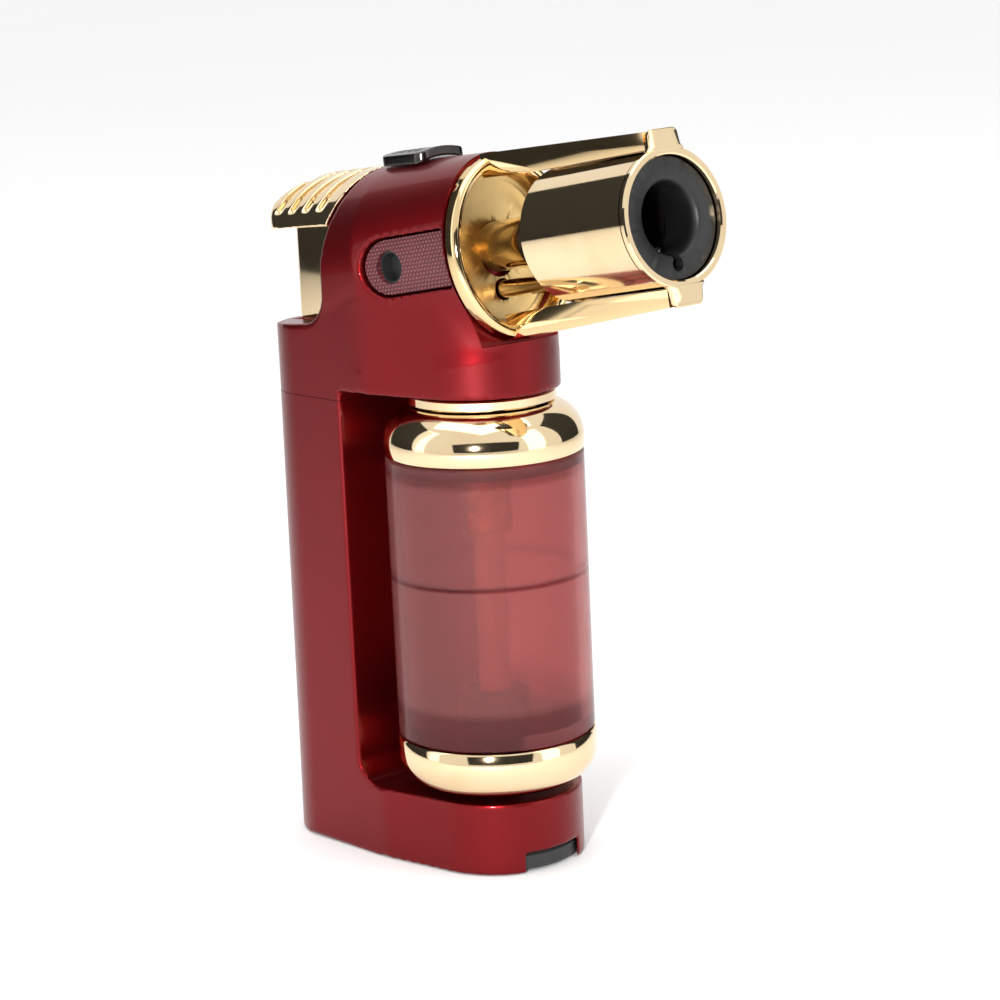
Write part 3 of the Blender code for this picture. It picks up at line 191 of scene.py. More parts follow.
def bright_steel():
    """Turned and drawn steel with fine lay lines and a few darker stains."""
    steel = Finish("bright_steel")
    lay = steel.noise(0.18, 2.0, (1, 1, 9))
    stain = steel.noise(4.0).ramp(0.45, 0.75)
    colour = steel.blend(stain * 0.5, sheet_colour(196, 196, 198), sheet_colour(128, 126, 124))
    return steel.surface(Base_Color=colour, Metallic=1.0, Roughness=0.22 + lay * 0.16 + stain * 0.1,
                         Normal=steel.bump(lay, 0.006, 0.5))


RED = candy_red()
BLACK = black_plastic()
STEEL = bright_steel()


def rings_hull(rings):
    """The solid stretched round circles: (x, y, z, radius) each, lying flat."""
    bm = bmesh.new()
    for x, y, z, radius in rings:
        bmesh.ops.create_circle(bm, segments=128, radius=radius, matrix=Matrix.Translation((x, y, z)))
    return wrap(bm)


def wrap(bm):
    """Replaces loose points with the convex skin round them."""
    made = bmesh.ops.convex_hull(bm, input=bm.verts, use_existing_faces=False)
    inside = [v for v in made["geom_interior"] + made["geom_unused"] if isinstance(v,
                                                                                   bmesh.types.BMVert)]
    bmesh.ops.delete(bm, geom=list(set(inside)), context="VERTS")
    loose = [v for v in bm.verts if not v.link_faces]
    bmesh.ops.delete(bm, geom=loose, context="VERTS")
    bmesh.ops.recalc_face_normals(bm, faces=bm.faces)
    return bm


def slab(outline, low, high, normal="Y"):
    """A flat outline, given as pairs, pushed out along Y or Z from low to high."""
    bm = bmesh.new()
    points = [(a, low, b) if normal == "Y" else (a, b, low) for a, b in outline]
    face = bm.faces.new([bm.verts.new(p) for p in points])
    made = bmesh.ops.extrude_face_region(bm, geom=[face])
    moved = [v for v in made["geom"] if isinstance(v, bmesh.types.BMVert)]
    step = (0, high - low, 0) if normal == "Y" else (0, 0, high - low)
    bmesh.ops.translate(bm, verts=moved, vec=step)
    bmesh.ops.recalc_face_normals(bm, faces=bm.faces)
    return bm


def block(x, y, z):
    """A box from its (low, high) along each axis."""
    bm = bmesh.new()
    bmesh.ops.create_cube(bm, size=1.0)
    bmesh.ops.scale(bm, verts=bm.verts, vec=(x[1] - x[0], y[1] - y[0], z[1] - z[0]))
    bmesh.ops.translate(bm, verts=bm.verts, vec=((x[0] + x[1]) / 2, (y[0] + y[1]) / 2,
                                                 (z[0] + z[1]) / 2))
    return bm


def bend(centre, radius, start, end, steps=12):
    """Points along an arc, in degrees."""
    turns = [math.radians(start + (end - start) * i / steps) for i in range(steps + 1)]
    return [(centre[0] + radius * math.cos(t), centre[1] + radius * math.sin(t)) for t in turns]


def solid(bm, name="working_shape"):
    """An object that holds a finished bmesh."""
    mesh = bpy.data.meshes.new(name)
    bm.to_mesh(mesh)
    bm.free()
    thing = bpy.data.objects.new(name, mesh)
    bpy.context.scene.collection.objects.link(thing)
    return thing


def settle(thing):
    """Makes the shape that the modifiers show into the object's own mesh."""
    graph = bpy.context.evaluated_depsgraph_get()
    mesh = bpy.data.meshes.new_from_object(thing.evaluated_get(graph))
    thing.modifiers.clear()
    thing.data = mesh
    return thing


def combine(thing, tools, operation="DIFFERENCE"):
    """Cuts, keeps or adds shapes, one after another."""
    for tool in tools:
        other = solid(tool)
        change = thing.modifiers.new(operation, "BOOLEAN")
        change.operation = operation
        change.solver = "MANIFOLD"
        change.object = other
        settle(thing)
        bpy.data.objects.remove(other)
    return thing


def cast_skin(thing, grain, passes):
    """Melts the edges of a built-up shape together, as a die casting's are."""
    skin = thing.modifiers.new("skin", "REMESH")
    skin.mode = "VOXEL"
    skin.voxel_size = grain
    skin.adaptivity = 0.0
    ease = thing.modifiers.new("ease", "SMOOTH")
    ease.factor = 0.5
    ease.iterations = passes
    return settle(thing)


def above(level):
    """Everything above a height, as a cutter."""
    return block((-80, 80), (-80, 80), (level, level + 80))


def below(level):
    """Everything below a height, as a cutter."""
    return block((-80, 80), (-80, 80), (level - 80, level))


def fit(thing, name, body, material, slot, *stands_for, place=UPRIGHT, sharp=40):
    """Puts a finished piece in its place on the torch, smooth but for edges sharper than sharp."""
    thing.name = name
    thing.data.name = name
    thing.data.transform(place)
    thing.data.materials.clear()
    thing.data.materials.append(material)
    thing.data.shade_smooth()
    bm = bmesh.new()
    bm.from_mesh(thing.data)
    for edge in bm.edges:
        edge.smooth = len(edge.link_faces) != 2 or edge.calc_face_angle(0) < math.radians(sharp)
    bm.to_mesh(thing.data)
    bm.free()
    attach(thing, body)
    if stands_for:
        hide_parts(*stands_for)
    return thing


def keep(material, *nodes):
    """Gives frame parts whose shape is right their finish."""
    for node in nodes:
        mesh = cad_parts[node].data
        mesh.materials.clear()
        mesh.materials.append(material)


REAR_CORNER = 9.5
SIDE = 14.4


def plan(nose, low, high, rear_low=-35.1, rear_high=-35.1, inset=0.0):
    """The handle's plan: round nose, full flanks and rounded rear corners, between two heights."""
    rings = []
    for z, rear in ((low, rear_low), (high, rear_high)):
        rings.append((0, 0, z, nose - inset))
        rings.append((-11.5, 0, z, 14.1 - inset))
        for side in (1, -1):
            rings.append((rear + REAR_CORNER, side * (SIDE - REAR_CORNER), z, REAR_CORNER - inset))
    return rings_hull(rings)


handle = solid(plan(12.2, 0.0, SEAM + 3, -36.0, -35.1))
window = [(-15.4, SEAM + 9)] + bend((-11.4, 14.6), 4.0, 180, 270) + [(30, 10.6), (30, SEAM + 9)]
cover_pocket = rings_hull([(x, y, z, r) for z in (-3, 2.1) for x, y, r in
                           ((-19.5, 10.0, 2.5), (-19.5, -10.0, 2.5), (-25.6, 4.9, 7.9),
                            (-25.6, -4.9, 7.9))])
wheel_pocket = rings_hull([(0, 0, -3, 11.8), (0, 0, 3.0, 11.8)])
combine(handle, [slab(window, -30, 30), cover_pocket, wheel_pocket, block((5, 16), (-5, 5), (-3, 3.0))])
cast_skin(handle, 0.3, 6)
combine(handle, [above(SEAM), below(0.0)])
fit(handle, "handle", "body", RED, "red_paint", "handle_frame")
keep(BLACK, "base_cover", "adjuster_wheel")
keep(STEEL, "base_screw_front", "base_screw_rear")


# ---- fuel tank ---------------------------------------------------------------------------------
# A bottle moulded in smoky red polycarbonate, frosted outside, between two pressed brass caps that
# are polished and plated pale gold. It is about half full; a centre tube feeds the outlet valve.
TANK_FOOT = 18.85
TANK_TOP = 60.8
FUEL_LEVEL = 43.0


def pale_gold():
    """Mirror plating, with the faint haze and wiping marks that handling leaves."""
    gold = Finish("pale_gold")
    haze = gold.noise(9.0, 4.0).ramp(0.4, 0.8)
    wipe = gold.noise(0.9, 3.0, (1, 1, 6))
    colour = gold.blend(haze * 0.6, sheet_colour(238, 214, 174), sheet_colour(224, 194, 148))
    return gold.surface(Base_Color=colour, Metallic=1.0, Roughness=0.045 + haze * 0.05 + wipe * 0.03,
                        Normal=gold.bump(wipe, 0.003, 0.25))


def smoky_tank():
    """Frosted red polycarbonate, darker at its ends, with two moulding rings."""
    smoke = Finish("smoky_tank")
    height = smoke.node("ShaderNodeSeparateXYZ", None, {"Vector": smoke.spot}, output="Z") * 1000.0
    cloud = smoke.noise(5.0, 4.0)
    grain = smoke.noise(0.5, 3.0)
    foot_band = 1 - height.ramp(23.4, 25.2)
    top_band = height.ramp(57.2, 58.2) * (1 - height.ramp(58.8, 60.4) * 0.5)
    ring = (1 - abs(height - 24.6).ramp(0.1, 0.35)) * 0.5 + (1 - abs(height - 22.9).ramp(0.1,
                                                                                         0.3)) * 0.5
    fuel_line = 1 - abs(height - FUEL_LEVEL).ramp(0.1, 0.5)
    clear = smoke.blend(cloud * 0.5, sheet_colour(204, 132, 130), sheet_colour(190, 120, 120))
    dark = smoke.blend(foot_band * 0.6 + top_band * 0.5 + fuel_line * 0.9, clear,
                       sheet_colour(122, 42, 50))
    colour = smoke.blend(ring * 0.3, dark, sheet_colour(196, 120, 120))
    return smoke.surface(Base_Color=colour, Roughness=0.19 + cloud * 0.05, Transmission_Weight=0.84,
                         IOR=1.2, Normal=smoke.bump(cloud * 0.8 + grain * 0.2, 0.01, 0.15))


def turned_brass():
    """Free-cutting brass off the lathe: fine rings and a dull film."""
    brass = Finish("turned_brass")
    rings = brass.noise(0.2, 2.0, (1, 1, 8))
    film = brass.noise(3.0).ramp(0.4, 0.7)
    colour = brass.blend(film * 0.6, sheet_colour(206, 172, 108), sheet_colour(156, 122, 66))
    return brass.surface(Base_Color=colour, Metallic=1.0, Roughness=0.2 + rings * 0.12 + film * 0.12,
                         Normal=brass.bump(rings, 0.006, 0.4))


def black_rubber():
    """Nitrile seals and the wire's sleeve: matt, dusty black."""
    rubber = Finish("black_rubber")
    dust = rubber.noise(1.2, 4.0)
    colour = rubber.blend(dust, sheet_colour(22, 22, 22), sheet_colour(48, 46, 45))
    return rubber.surface(Base_Color=colour, Roughness=0.62 + dust * 0.2,
                          Normal=rubber.bump(dust, 0.02, 0.5))


def milky_tube():
    """The natural nylon dip tube, a little stained by the fuel."""
    nylon = Finish("milky_tube")
    stain = nylon.noise(4.0, 4.0)
    colour = nylon.blend(stain, sheet_colour(226, 216, 190), sheet_colour(200, 186, 158))
    return nylon.surface(Base_Color=colour, Roughness=0.3 + stain * 0.1)


GOLD = pale_gold()
SMOKE = smoky_tank()
BRASS = turned_brass()
RUBBER = black_rubber()
MILKY = milky_tube()


def turned(profile, sides=128, along="Z"):
    """A closed profile of (radius, distance) pairs, spun round Z or X."""
    bm = bmesh.new()
    if along == "Z":
        points = [(r, 0, d) for r, d in profile]
    else:
        points = [(d, 0, r) for r, d in profile]
    verts = [bm.verts.new(p) for p in points]
    for a, b in zip(verts, verts[1:] + verts[:1]):
        bm.edges.new((a, b))
    axis = (0, 0, 1) if along == "Z" else (1, 0, 0)
    bmesh.ops.spin(bm, geom=bm.verts[:] + bm.edges[:], cent=(0, 0, 0), axis=axis, angle=2 * math.pi,
                   steps=sides, use_merge=True)
    bmesh.ops.remove_doubles(bm, verts=bm.verts, dist=1e-4)
    bmesh.ops.recalc_face_normals(bm, faces=bm.faces)
    return bm


def soften(thing, width, segments=3, angle=32):
    """Breaks the sharp edges of a machined or pressed piece."""
    edge = thing.modifiers.new("edge", "BEVEL")
    edge.width = width
    edge.segments = segments
    edge.limit_method = "ANGLE"
    edge.angle_limit = math.radians(angle)
    return settle(thing)


bowl = [(3.4, 11.4)] + bend((10.0, 16.0), 4.6, -90, 0, 16) + [(14.6, 18.6), (14.4, TANK_FOOT),
                                                              (12.8, TANK_FOOT)]
bowl += bend((10.0, 16.0), 2.8, 0, -90, 10) + [(3.4, 13.2)]
fit(solid(turned(bowl)), "tank_foot_cap", "body", GOLD, "gold_plate", "tank_bottom_cap")

bottle = [(3.4, TANK_FOOT + 0.3), (14.2, TANK_FOOT + 0.3), (14.45, TANK_FOOT + 0.55), (14.45, 60.25),
          (14.2, 60.5),
          (12.35, 60.5), (12.35, 63.0), (3.9, 63.0), (3.9, 61.3), (10.65, 61.3), (10.65, 59.5),
          (12.75, 58.5),
          (12.75, 20.85), (3.4, 20.85)]
fit(solid(turned(bottle)), "tank_bottle", "body", SMOKE, "tank_plastic", "tank_shell")

dome = [(14.4, TANK_TOP), (14.6, TANK_TOP + 0.25)] + bend((9.2, 62.6), 5.4, 0, 72, 18)
dome += [(10.4, 67.95), (9.6, 68.0), (5.1, 68.0), (5.1, 63.3), (12.65, 63.3), (12.65, TANK_TOP)]
fit(solid(turned(dome)), "tank_shoulder_cap", "body", GOLD, "gold_plate", "tank_top_cap")

collar = [(5.1, 68.1), (10.6, 68.1), (10.8, 68.3), (10.8, 69.4), (10.6, 69.6), (5.1, 69.6)]
fit(solid(turned(collar)), "tank_neck_collar", "body", GOLD, "gold_plate", "tank_collar")


keep(MILKY, "centre_tube")
keep(BLACK, "fill_valve_body")
keep(BRASS, "outlet_valve_body", "gas_pipe", "jet_holder", "jet")
keep(STEEL, "fill_valve_stem", "outlet_valve_stem", "valve_lever", "lever_pin", "lever_bracket")
keep(RUBBER, "tank_seal_lower", "tank_seal_upper", "ignition_wire")


# ---- head housing ------------------------------------------------------------------------------
# The second zinc casting, painted like the handle. A round barrel that grows towards the back lies
# across a block over the tank; its flanks are recessed for grip panels, and its back is cut away for
# the trigger.
TILT_ANGLE = math.radians(10)
NOZZLE_X = 41.1
NOZZLE_Z = 97.0
TILT = Matrix.Translation((NOZZLE_X, 0, NOZZLE_Z)) @ Matrix.Rotation(-TILT_ANGLE, 4, "Y")
NOZZLE = UPRIGHT @ TILT
HEAD_FRONT = 35.1
FLANK_BACK = 52.5
REAR_BACK = 66.0
TAIL_BACK = 84.0
NOSE_TOP = -13.75
FILLET_PASSES = 160
RIDGE_RISE = math.tan(math.radians(3.0))


def ridge_height(back):
    """Height of the head's top line above the nozzle's axis."""
    return 13.3 + (back - HEAD_FRONT) * RIDGE_RISE


def ridge_z(x):
    """Height of the head's top line above the floor."""
    back = (NOZZLE_X - x) / math.cos(TILT_ANGLE)
    return NOZZLE_Z - back * math.sin(TILT_ANGLE) + ridge_height(back) / math.cos(TILT_ANGLE)


def barrel_shape(front, back, inset=0.0):
    """The head's barrel: elliptic above, fuller below, wider towards the back."""
    stations = (
        (HEAD_FRONT, 11.4, 13.3, 2.0),
        (FLANK_BACK, 14.2, 14.0, 2.6),
        (REAR_BACK, 14.5, 15.0, 4.0),
        (TAIL_BACK, 14.5, 15.0, 4.0),
    )
    bm = bmesh.new()
    places = [front] + [s[0] for s in stations if front < s[0] < back] + [back]
    for place in places:
        for (b0, w0, d0, p0), (b1, w1, d1, p1) in zip(stations, stations[1:]):
            if place <= b1:
                break
        share = (place - b0) / (b1 - b0)
        width = w0 + (w1 - w0) * share - inset
        drop = d0 + (d1 - d0) * share - inset
        power = 2 / (p0 + (p1 - p0) * share)
        ring = bmesh.ops.create_circle(bm, segments=128, radius=1.0)["verts"]
        for v in ring:
            c, s = v.co.x, v.co.y
            if s >= 0:
                v.co = (-place, width * c, (ridge_height(place) - inset) * s)
            else:
                v.co = (-place, width * math.copysign(abs(c) ** power, c), -drop * abs(s) ** power)
    wrap(bm)
    bmesh.ops.transform(bm, matrix=TILT, verts=bm.verts)
    return bm


def tilted(bm):
    """Moves a shape from the nozzle's frame to the tank's."""
    bmesh.ops.transform(bm, matrix=TILT, verts=bm.verts)
    return bm


def blend_under_barrel(thing):
    """Eases the hollow where the barrel's underside runs into the block over the tank."""
    to_nozzle = TILT.inverted()
    bm = bmesh.new()
    bm.from_mesh(thing.data)
    hollow = [v for v in bm.verts if 73.0 < v.co.z < 88.0 and v.co.x > -13.0
              and -15.5 < (to_nozzle @ v.co).z < -5.0 and abs(v.co.y) > 4.0]
    for _ in range(FILLET_PASSES):
        bmesh.ops.smooth_vert(bm, verts=hollow, factor=0.5, use_axis_x=True, use_axis_y=True,
                              use_axis_z=True)
    bm.to_mesh(thing.data)
    bm.free()


head = solid(plan(11.5, SEAM - 3, 84.0))
combine(head, [barrel_shape(HEAD_FRONT - 3, REAR_BACK)], "UNION")
foot_x, foot_z, top_x = -18.1, 88.0, -16.7
rise = ridge_z(foot_x) - foot_z
back_cut = [(top_x + 0.28, ridge_z(foot_x) + rise * 0.2), (foot_x, foot_z)]
back_cut += bend((foot_x - 5, 84.0), 5.0, 0, -90) + [(-40, 77.6), (-40, 125), (foot_x, 125)]
panel_cuts = []
stadium = bend((-46.9, -0.5), 4.2, 90, 270, 24) + [(-35.4, -4.7), (-35.4, 3.7)]
for low, high in ((8.2, 30), (-30, -8.2)):
    panel_cuts.append(tilted(slab(stadium, low, high)))
stem_slot = block((-32.4, -17.2), (-8.5, 8.5), (68.0, 100.0))
ceiling = block((-15.4, 30), (-30, 30), (SEAM - 9, 69.9))
dish_room = turned([(0, -38.5), (11.0, -38.5), (11.0, -30), (0, -30)], along="X")
bmesh.ops.scale(dish_room, verts=dish_room.verts, vec=(1, 0.857, 1.04))
combine(head, [slab(back_cut, -30, 30), ceiling, stem_slot, *panel_cuts, tilted(dish_room)])
cast_skin(head, 0.3, 6)
blend_under_barrel(head)
combine(head, [below(SEAM + 0.08), tilted(block((-HEAD_FRONT, 30), (-40, 40), (NOSE_TOP, 60)))])
fit(head, "head", "body", RED, "red_paint", "head_housing")


# ---- grip panels -------------------------------------------------------------------------------
# Maroon nylon inserts with fine raised dots in a hexagonal pattern, pressed into the head's flanks.
# Each has a screw at the bottom of a round hole near its back end.
DOT_PITCH = 0.62
DOT_TOP = 0.14
DOT_FOOT = 0.27


def dotted_maroon():
    """Raised dots over a darker satin ground; the dots' lighter colour is a painted highlight."""
    nylon = Finish("dotted_maroon")
    in_millimetres = {"Vector": nylon.spot, "Rotation": (0, TILT_ANGLE, 0), "Scale": (1000, 1000, 1000)}
    turned_back = nylon.node("ShaderNodeMapping", None, in_millimetres)
    along = nylon.node("ShaderNodeSeparateXYZ", None, {"Vector": turned_back})
    up = Tone(nylon, along.socket.node.outputs["Z"])
    row = DOT_PITCH * math.sqrt(3)

    def lattice(shift_x, shift_z):
        dx = ((along + shift_x) / DOT_PITCH).fraction() - 0.5
        dz = ((up + shift_z) / row).fraction() - 0.5
        return dx * dx * DOT_PITCH ** 2 + dz * dz * row ** 2

    nearest = lattice(0, 0).least(lattice(DOT_PITCH / 2, row / 2))
    dot = 1 - nearest.ramp(DOT_TOP ** 2, DOT_FOOT ** 2)
    wear = nylon.noise(5.0)
    ground = nylon.blend(wear, sheet_colour(64, 22, 27), sheet_colour(78, 28, 33))
    # Painted highlight: the dots are coloured lighter for the light that their raised tops catch.
    colour = nylon.blend(dot * (0.7 + wear * 0.3), ground, sheet_colour(116, 56, 62))
    return nylon.surface(Base_Color=colour, Roughness=0.46 - dot * 0.12 + wear * 0.06,
                         Normal=nylon.bump(dot, 0.14, 0.9))


MAROON = dotted_maroon()
keep(MAROON, "side_panel_left", "side_panel_right")
keep(BLACK, "side_screw_left", "side_screw_right")
# Painted shade: a black tube lines each screw hole, darkening it as shade darkens the real hole.
for side, name in ((1, "left"), (-1, "right")):
    shade_tube = turned([(2.05, 8.3), (2.4, 8.3), (2.4, 11.9), (2.05, 11.9)], 64)
    bmesh.ops.rotate(shade_tube, verts=shade_tube.verts, matrix=Matrix.Rotation(math.radians(-90 * side), 3, "X"))
    bmesh.ops.translate(shade_tube, verts=shade_tube.verts, vec=(-46.3, 0, -0.5))
    fit(solid(shade_tube), "screw_hole_shade_" + name, "body", BLACK, "black_plastic", place=NOZZLE)


# ---- lock slider -------------------------------------------------------------------------------
# A small cast saddle plated dark gunmetal. It rides along the ridge on a neck through the roof and
# keeps the trigger from being pressed; four grooves give the thumb a grip.
def gunmetal():
    """Black nickel over a polished casting, brighter where the thumb wears it."""
    metal = Finish("gunmetal")
    haze = metal.noise(3.0, 4.0)
    worn = (metal.node("ShaderNodeNewGeometry", output="Pointiness") - 0.52).ramp(0.0, 0.08)
    colour = metal.blend(worn * 0.6 + haze * 0.2, sheet_colour(58, 54, 54), sheet_colour(150, 146, 144))
    return metal.surface(Base_Color=colour, Metallic=1.0, Roughness=0.16 + haze * 0.10,
                         Normal=metal.bump(haze, 0.006, 0.4))


GUNMETAL = gunmetal()
ridge_turn = Matrix.Translation((0, 0, ridge_z(0))) @ Matrix.Rotation(math.radians(-7), 4, "Y")
saddle = rings_hull([(x, y, z, 1.6) for z in (-4, 6) for x in (-13.8, -7.4) for y in (2.8, -2.8)])
bmesh.ops.transform(saddle, matrix=ridge_turn, verts=saddle.verts)
slider = solid(saddle)
combine(slider, [barrel_shape(HEAD_FRONT, REAR_BACK, -1.7)], "INTERSECT")
grooves = [barrel_shape(HEAD_FRONT, REAR_BACK, -0.3)]
for i in range(4):
    x = -13.5 + i * 1.6
    groove = block((x, x + 0.7), (-3.2, 3.2), (1.0, 4.7))
    bmesh.ops.transform(groove, matrix=ridge_turn, verts=groove.verts)
    grooves.append(groove)
combine(slider, grooves)
cast_skin(slider, 0.14, 5)
fit(slider, "slider", "lock_slider", GUNMETAL, "gunmetal", "lock_slider")
keep(STEEL, "lock_catch")


# ---- thumb trigger -----------------------------------------------------------------------------
# A plated cap with ribs for the thumb on a square hollow stem. It slides down over the piezo igniter
# against a spring.
CAP_REAR = -35.0
LIP_Z = 93.4
slope = math.tan(math.radians(5.5))
lip_front = foot_x + 1.4 * max(0.0, LIP_Z - foot_z) / rise - 0.8
cap_side = [(lip_front, LIP_Z), (top_x - 0.8, ridge_z(top_x) + 3)]
cap_side += bend((CAP_REAR + 7.2, ridge_z(CAP_REAR + 7.2) - 7.2), 7.2, 90, 180, 16)
cap_side += [(CAP_REAR, LIP_Z + (CAP_REAR - lip_front) * slope)]
cap = solid(slab(cap_side, -14, 14))
combine(cap, [rings_hull([(x, y, z, r) for z in (80, 120) for x, y, r in
                          ((0, 11.2, 1), (0, -11.2, 1), (CAP_REAR + 5, 7.2, 5),
                           (CAP_REAR + 5, -7.2, 5))]),
              barrel_shape(FLANK_BACK, TAIL_BACK, 0.15)], "INTERSECT")
ribs = []
for i in range(4):
    x = CAP_REAR + 2.4 + i * 3.4
    rib = solid(slab([(x, 94.2 + i * 0.35), (x + 1.5, 94.3 + i * 0.35), (x + 2.1, 112), (x + 0.6, 112)],
                     -16, 16))
    combine(rib, [barrel_shape(FLANK_BACK, TAIL_BACK, 1.1)])
    made = bmesh.new()
    made.from_mesh(rib.data)
    bpy.data.objects.remove(rib)
    ribs.append(made)
ribs.append(block((-32.2, -14.0), (-8.3, 8.3), (84.0, 95.3)))
combine(cap, ribs)
cast_skin(cap, 0.2, 5)
fit(cap, "thumb_cap", "trigger", GOLD, "gold_plate", "trigger_cap")

stem = solid(block((-31.9, -17.7), (-8, 8), (73, 95)))
soften(stem, 1.3, 5)
fit(stem, "trigger_shank", "trigger", GOLD, "gold_plate", "trigger_stem")
keep(BLACK, "piezo_body", "piezo_plunger", "piezo_holder")

coil_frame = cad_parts["trigger_spring"]
coil = bpy.data.objects.new("trigger_coil", coil_frame.data.copy())
bpy.context.scene.collection.objects.link(coil)
coil.data.transform(coil_frame.matrix_world)
coil.data.materials.clear()
coil.data.materials.append(STEEL)
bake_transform(coil)
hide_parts("trigger_spring")


# ---- burner ------------------------------------------------------------------------------------
# A gold-plated barrel round the flame tube, with a front plate whose two tabs hook over the guard's
# rails. The black ceramic insert has a keyhole for the spark electrode. Behind, a plated boss and a
# dark ring carry it on the guard.
def fired_ceramic():
    """Black glazed ceramic, greyer on its face, with a dry, slightly sooty bore."""
    glaze = Finish("fired_ceramic")
    soot = glaze.noise(2.4, 4.0)
    colour = glaze.blend(soot, sheet_colour(10, 10, 11), sheet_colour(20, 20, 22))
    return glaze.surface(Base_Color=colour, Roughness=0.34 + soot * 0.2,
                         Normal=glaze.bump(soot, 0.02, 0.4))


def burnt_steel():
    """The flame tube and screen: heat-darkened stainless steel."""
    burnt = Finish("burnt_steel")
    scale = burnt.noise(1.5, 4.0)
    colour = burnt.blend(scale, sheet_colour(38, 34, 34), sheet_colour(74, 66, 64))
    return burnt.surface(Base_Color=colour, Metallic=1.0, Roughness=0.4 + scale * 0.2)


def browned_gold():
    """Gold plating that turns browner and duller towards the dish's floor."""
    plating = Finish("browned_gold")
    turned_level = plating.node("ShaderNodeMapping", None, {"Vector": plating.spot,
                                                            "Rotation": (0, TILT_ANGLE, 0)})
    along = plating.node("ShaderNodeSeparateXYZ", None, {"Vector": turned_level}, output="X") * 1000.0
    floor_share = 1 - along.ramp(BROWNED_BELOW, BROWNED_BELOW + 1.6)
    stain = plating.noise(3.5, 4.0)
    brown = plating.blend(stain, sheet_colour(206, 176, 118), sheet_colour(180, 148, 94))
    colour = plating.blend(floor_share * 0.9, sheet_colour(232, 202, 152), brown)
    return plating.surface(Base_Color=colour, Metallic=1.0, Roughness=0.05 + floor_share * 0.24 + stain * 0.03,
                           Normal=plating.bump(stain, 0.004, 0.3))


BROWNED_BEHIND = 35.4
AXIS = Vector((math.cos(TILT_ANGLE), 0, math.sin(TILT_ANGLE)))
BROWNED_BELOW = NOZZLE.translation.dot(AXIS) * 1000 - BROWNED_BEHIND
POST_DROP = 6.1
CERAMIC = fired_ceramic()
BROWNED_GOLD = browned_gold()
BURNT = burnt_steel()

barrel = [(8.9, -21.0), (9.25, -21.0), (9.4, -20.85), (9.4, -1.1), (8.9, -1.1)]
fit(solid(turned(barrel, 160, "X")), "barrel_sleeve", "body", GOLD, "gold_plate", "burner_barrel",
    place=NOZZLE)

plate = solid(turned([(8.4, -0.8), (9.5, -0.8), (9.5, -0.2), (9.3, -0.03), (8.6, -0.03), (8.4, -0.2)],
                     160, "X"))
for side in (1, -1):
    outline = [(-3.5, 8.9), (3.5, 8.9), (2.9, 9.6)] + bend((1.8, 11.0), 0.9, 0, 90, 6)
    outline += bend((-1.8, 11.0), 0.9, 90, 180, 6) + [(-2.9, 9.6)]
    tab = slab(outline, -0.8, 0.0, "Z")
    bmesh.ops.rotate(tab, verts=tab.verts, matrix=Matrix.Rotation(math.radians(90), 3, "Y"))
    bmesh.ops.rotate(tab, verts=tab.verts, matrix=Matrix.Rotation(math.radians(90 * side), 3, "X"))
    piece = soften(solid(tab), 0.15, 3, 60)
    made = bmesh.new()
    made.from_mesh(piece.data)
    bpy.data.objects.remove(piece)
    combine(plate, [made], "UNION")
fit(plate, "nozzle_plate", "body", GOLD, "gold_plate", "front_plate", place=NOZZLE)

insert = [(4.8, -7.1), (8.35, -7.1), (8.35, -1.25), (8.2, -1.0), (5.5, -1.0), (5.05, -1.35),
          (4.8, -2.4)]
nose = solid(turned(insert, 128, "X"))
key = block((-20, 3), (-0.7, 0.7), (-6.2, -3.5))
key_end = turned([(0, -20), (1.0, -20), (1.0, 3), (0, 3)], 32, "X")
bmesh.ops.translate(key_end, verts=key_end.verts, vec=(0, 0, -6.2))
combine(nose, [key, key_end])
soften(nose, 0.12, 2, 40)
fit(nose, "ceramic_insert", "body", CERAMIC, "black_plastic", "nozzle_insert", place=NOZZLE)

boss = [(2.4, -37.3), (3.3, -37.3), (3.6, -36.9), (3.6, -28.2), (3.4, -28.0), (2.4, -28.0)]
fit(solid(turned(boss, 96, "X")), "neck_boss", "body", BROWNED_GOLD, "gunmetal", "burner_neck",
    place=NOZZLE)
ring = [(2.4, -28.0), (3.9, -28.0), (4.1, -27.8), (4.1, -25.0), (3.7, -24.6), (3.7, -23.4),
        (5.1, -21.4), (5.3, -21.2),
        (5.3, -19.0), (2.4, -19.0)]
fit(solid(turned(ring, 96, "X")), "neck_ring", "body", GUNMETAL, "gunmetal", place=NOZZLE)

post = [(0.8, -37.3), (1.3, -37.3), (1.3, -25.6), (1.45, -25.4), (1.75, -25.3), (1.75, -21.7),
        (1.6, -21.5), (0.8, -21.5)]
spark_post = turned(post, 48, "X")
bmesh.ops.translate(spark_post, verts=spark_post.verts, vec=(0, 0, -POST_DROP))
fit(solid(spark_post), "spark_post", "body", GOLD, "brass", "electrode_post", place=NOZZLE)
keep(STEEL, "electrode")
keep(BURNT, "flame_tube", "flame_screen", "barrel_spacer")


# ---- guard -------------------------------------------------------------------------------------
# One pressed and plated piece: an oval dish against the head, with a rolled rim, and a rail above and
# below the barrel that ends at the nozzle plate's tabs.
dish = [(4.0, -37.4), (4.0, -36.9), (8.2, -36.8)] + bend((9.6, -35.4), 1.4, -90, 0, 8)[1:]
dish += [(11.15, -33.6)] + bend((12.2, -33.5), 0.95, 180, 0, 14) + [(13.2, -34.5), (12.9, -34.8),
                                                                    (11.3, -34.8)]
dish += [(11.3, -36.0), (10.0, -37.4)]
guard = solid(turned(dish, 160, "X"))
guard.data.transform(Matrix.Translation((0, 0, -0.3)) @ Matrix.Diagonal((1, 11.4 / 13.3, 1, 1)))
for side in (1, -1):
    outer = 13.15 if side > 0 else 13.35
    rail = [(-34.3, side * 9.7), (-1.1, side * 8.5), (-1.1, side * 11.7), (-34.3, side * outer)]
    combine(guard, [slab(rail, -2.7, 2.7)], "UNION")
room = turned([(0, -22.0), (9.7, -22.0), (9.7, 5), (0, 5)], 160, "X")
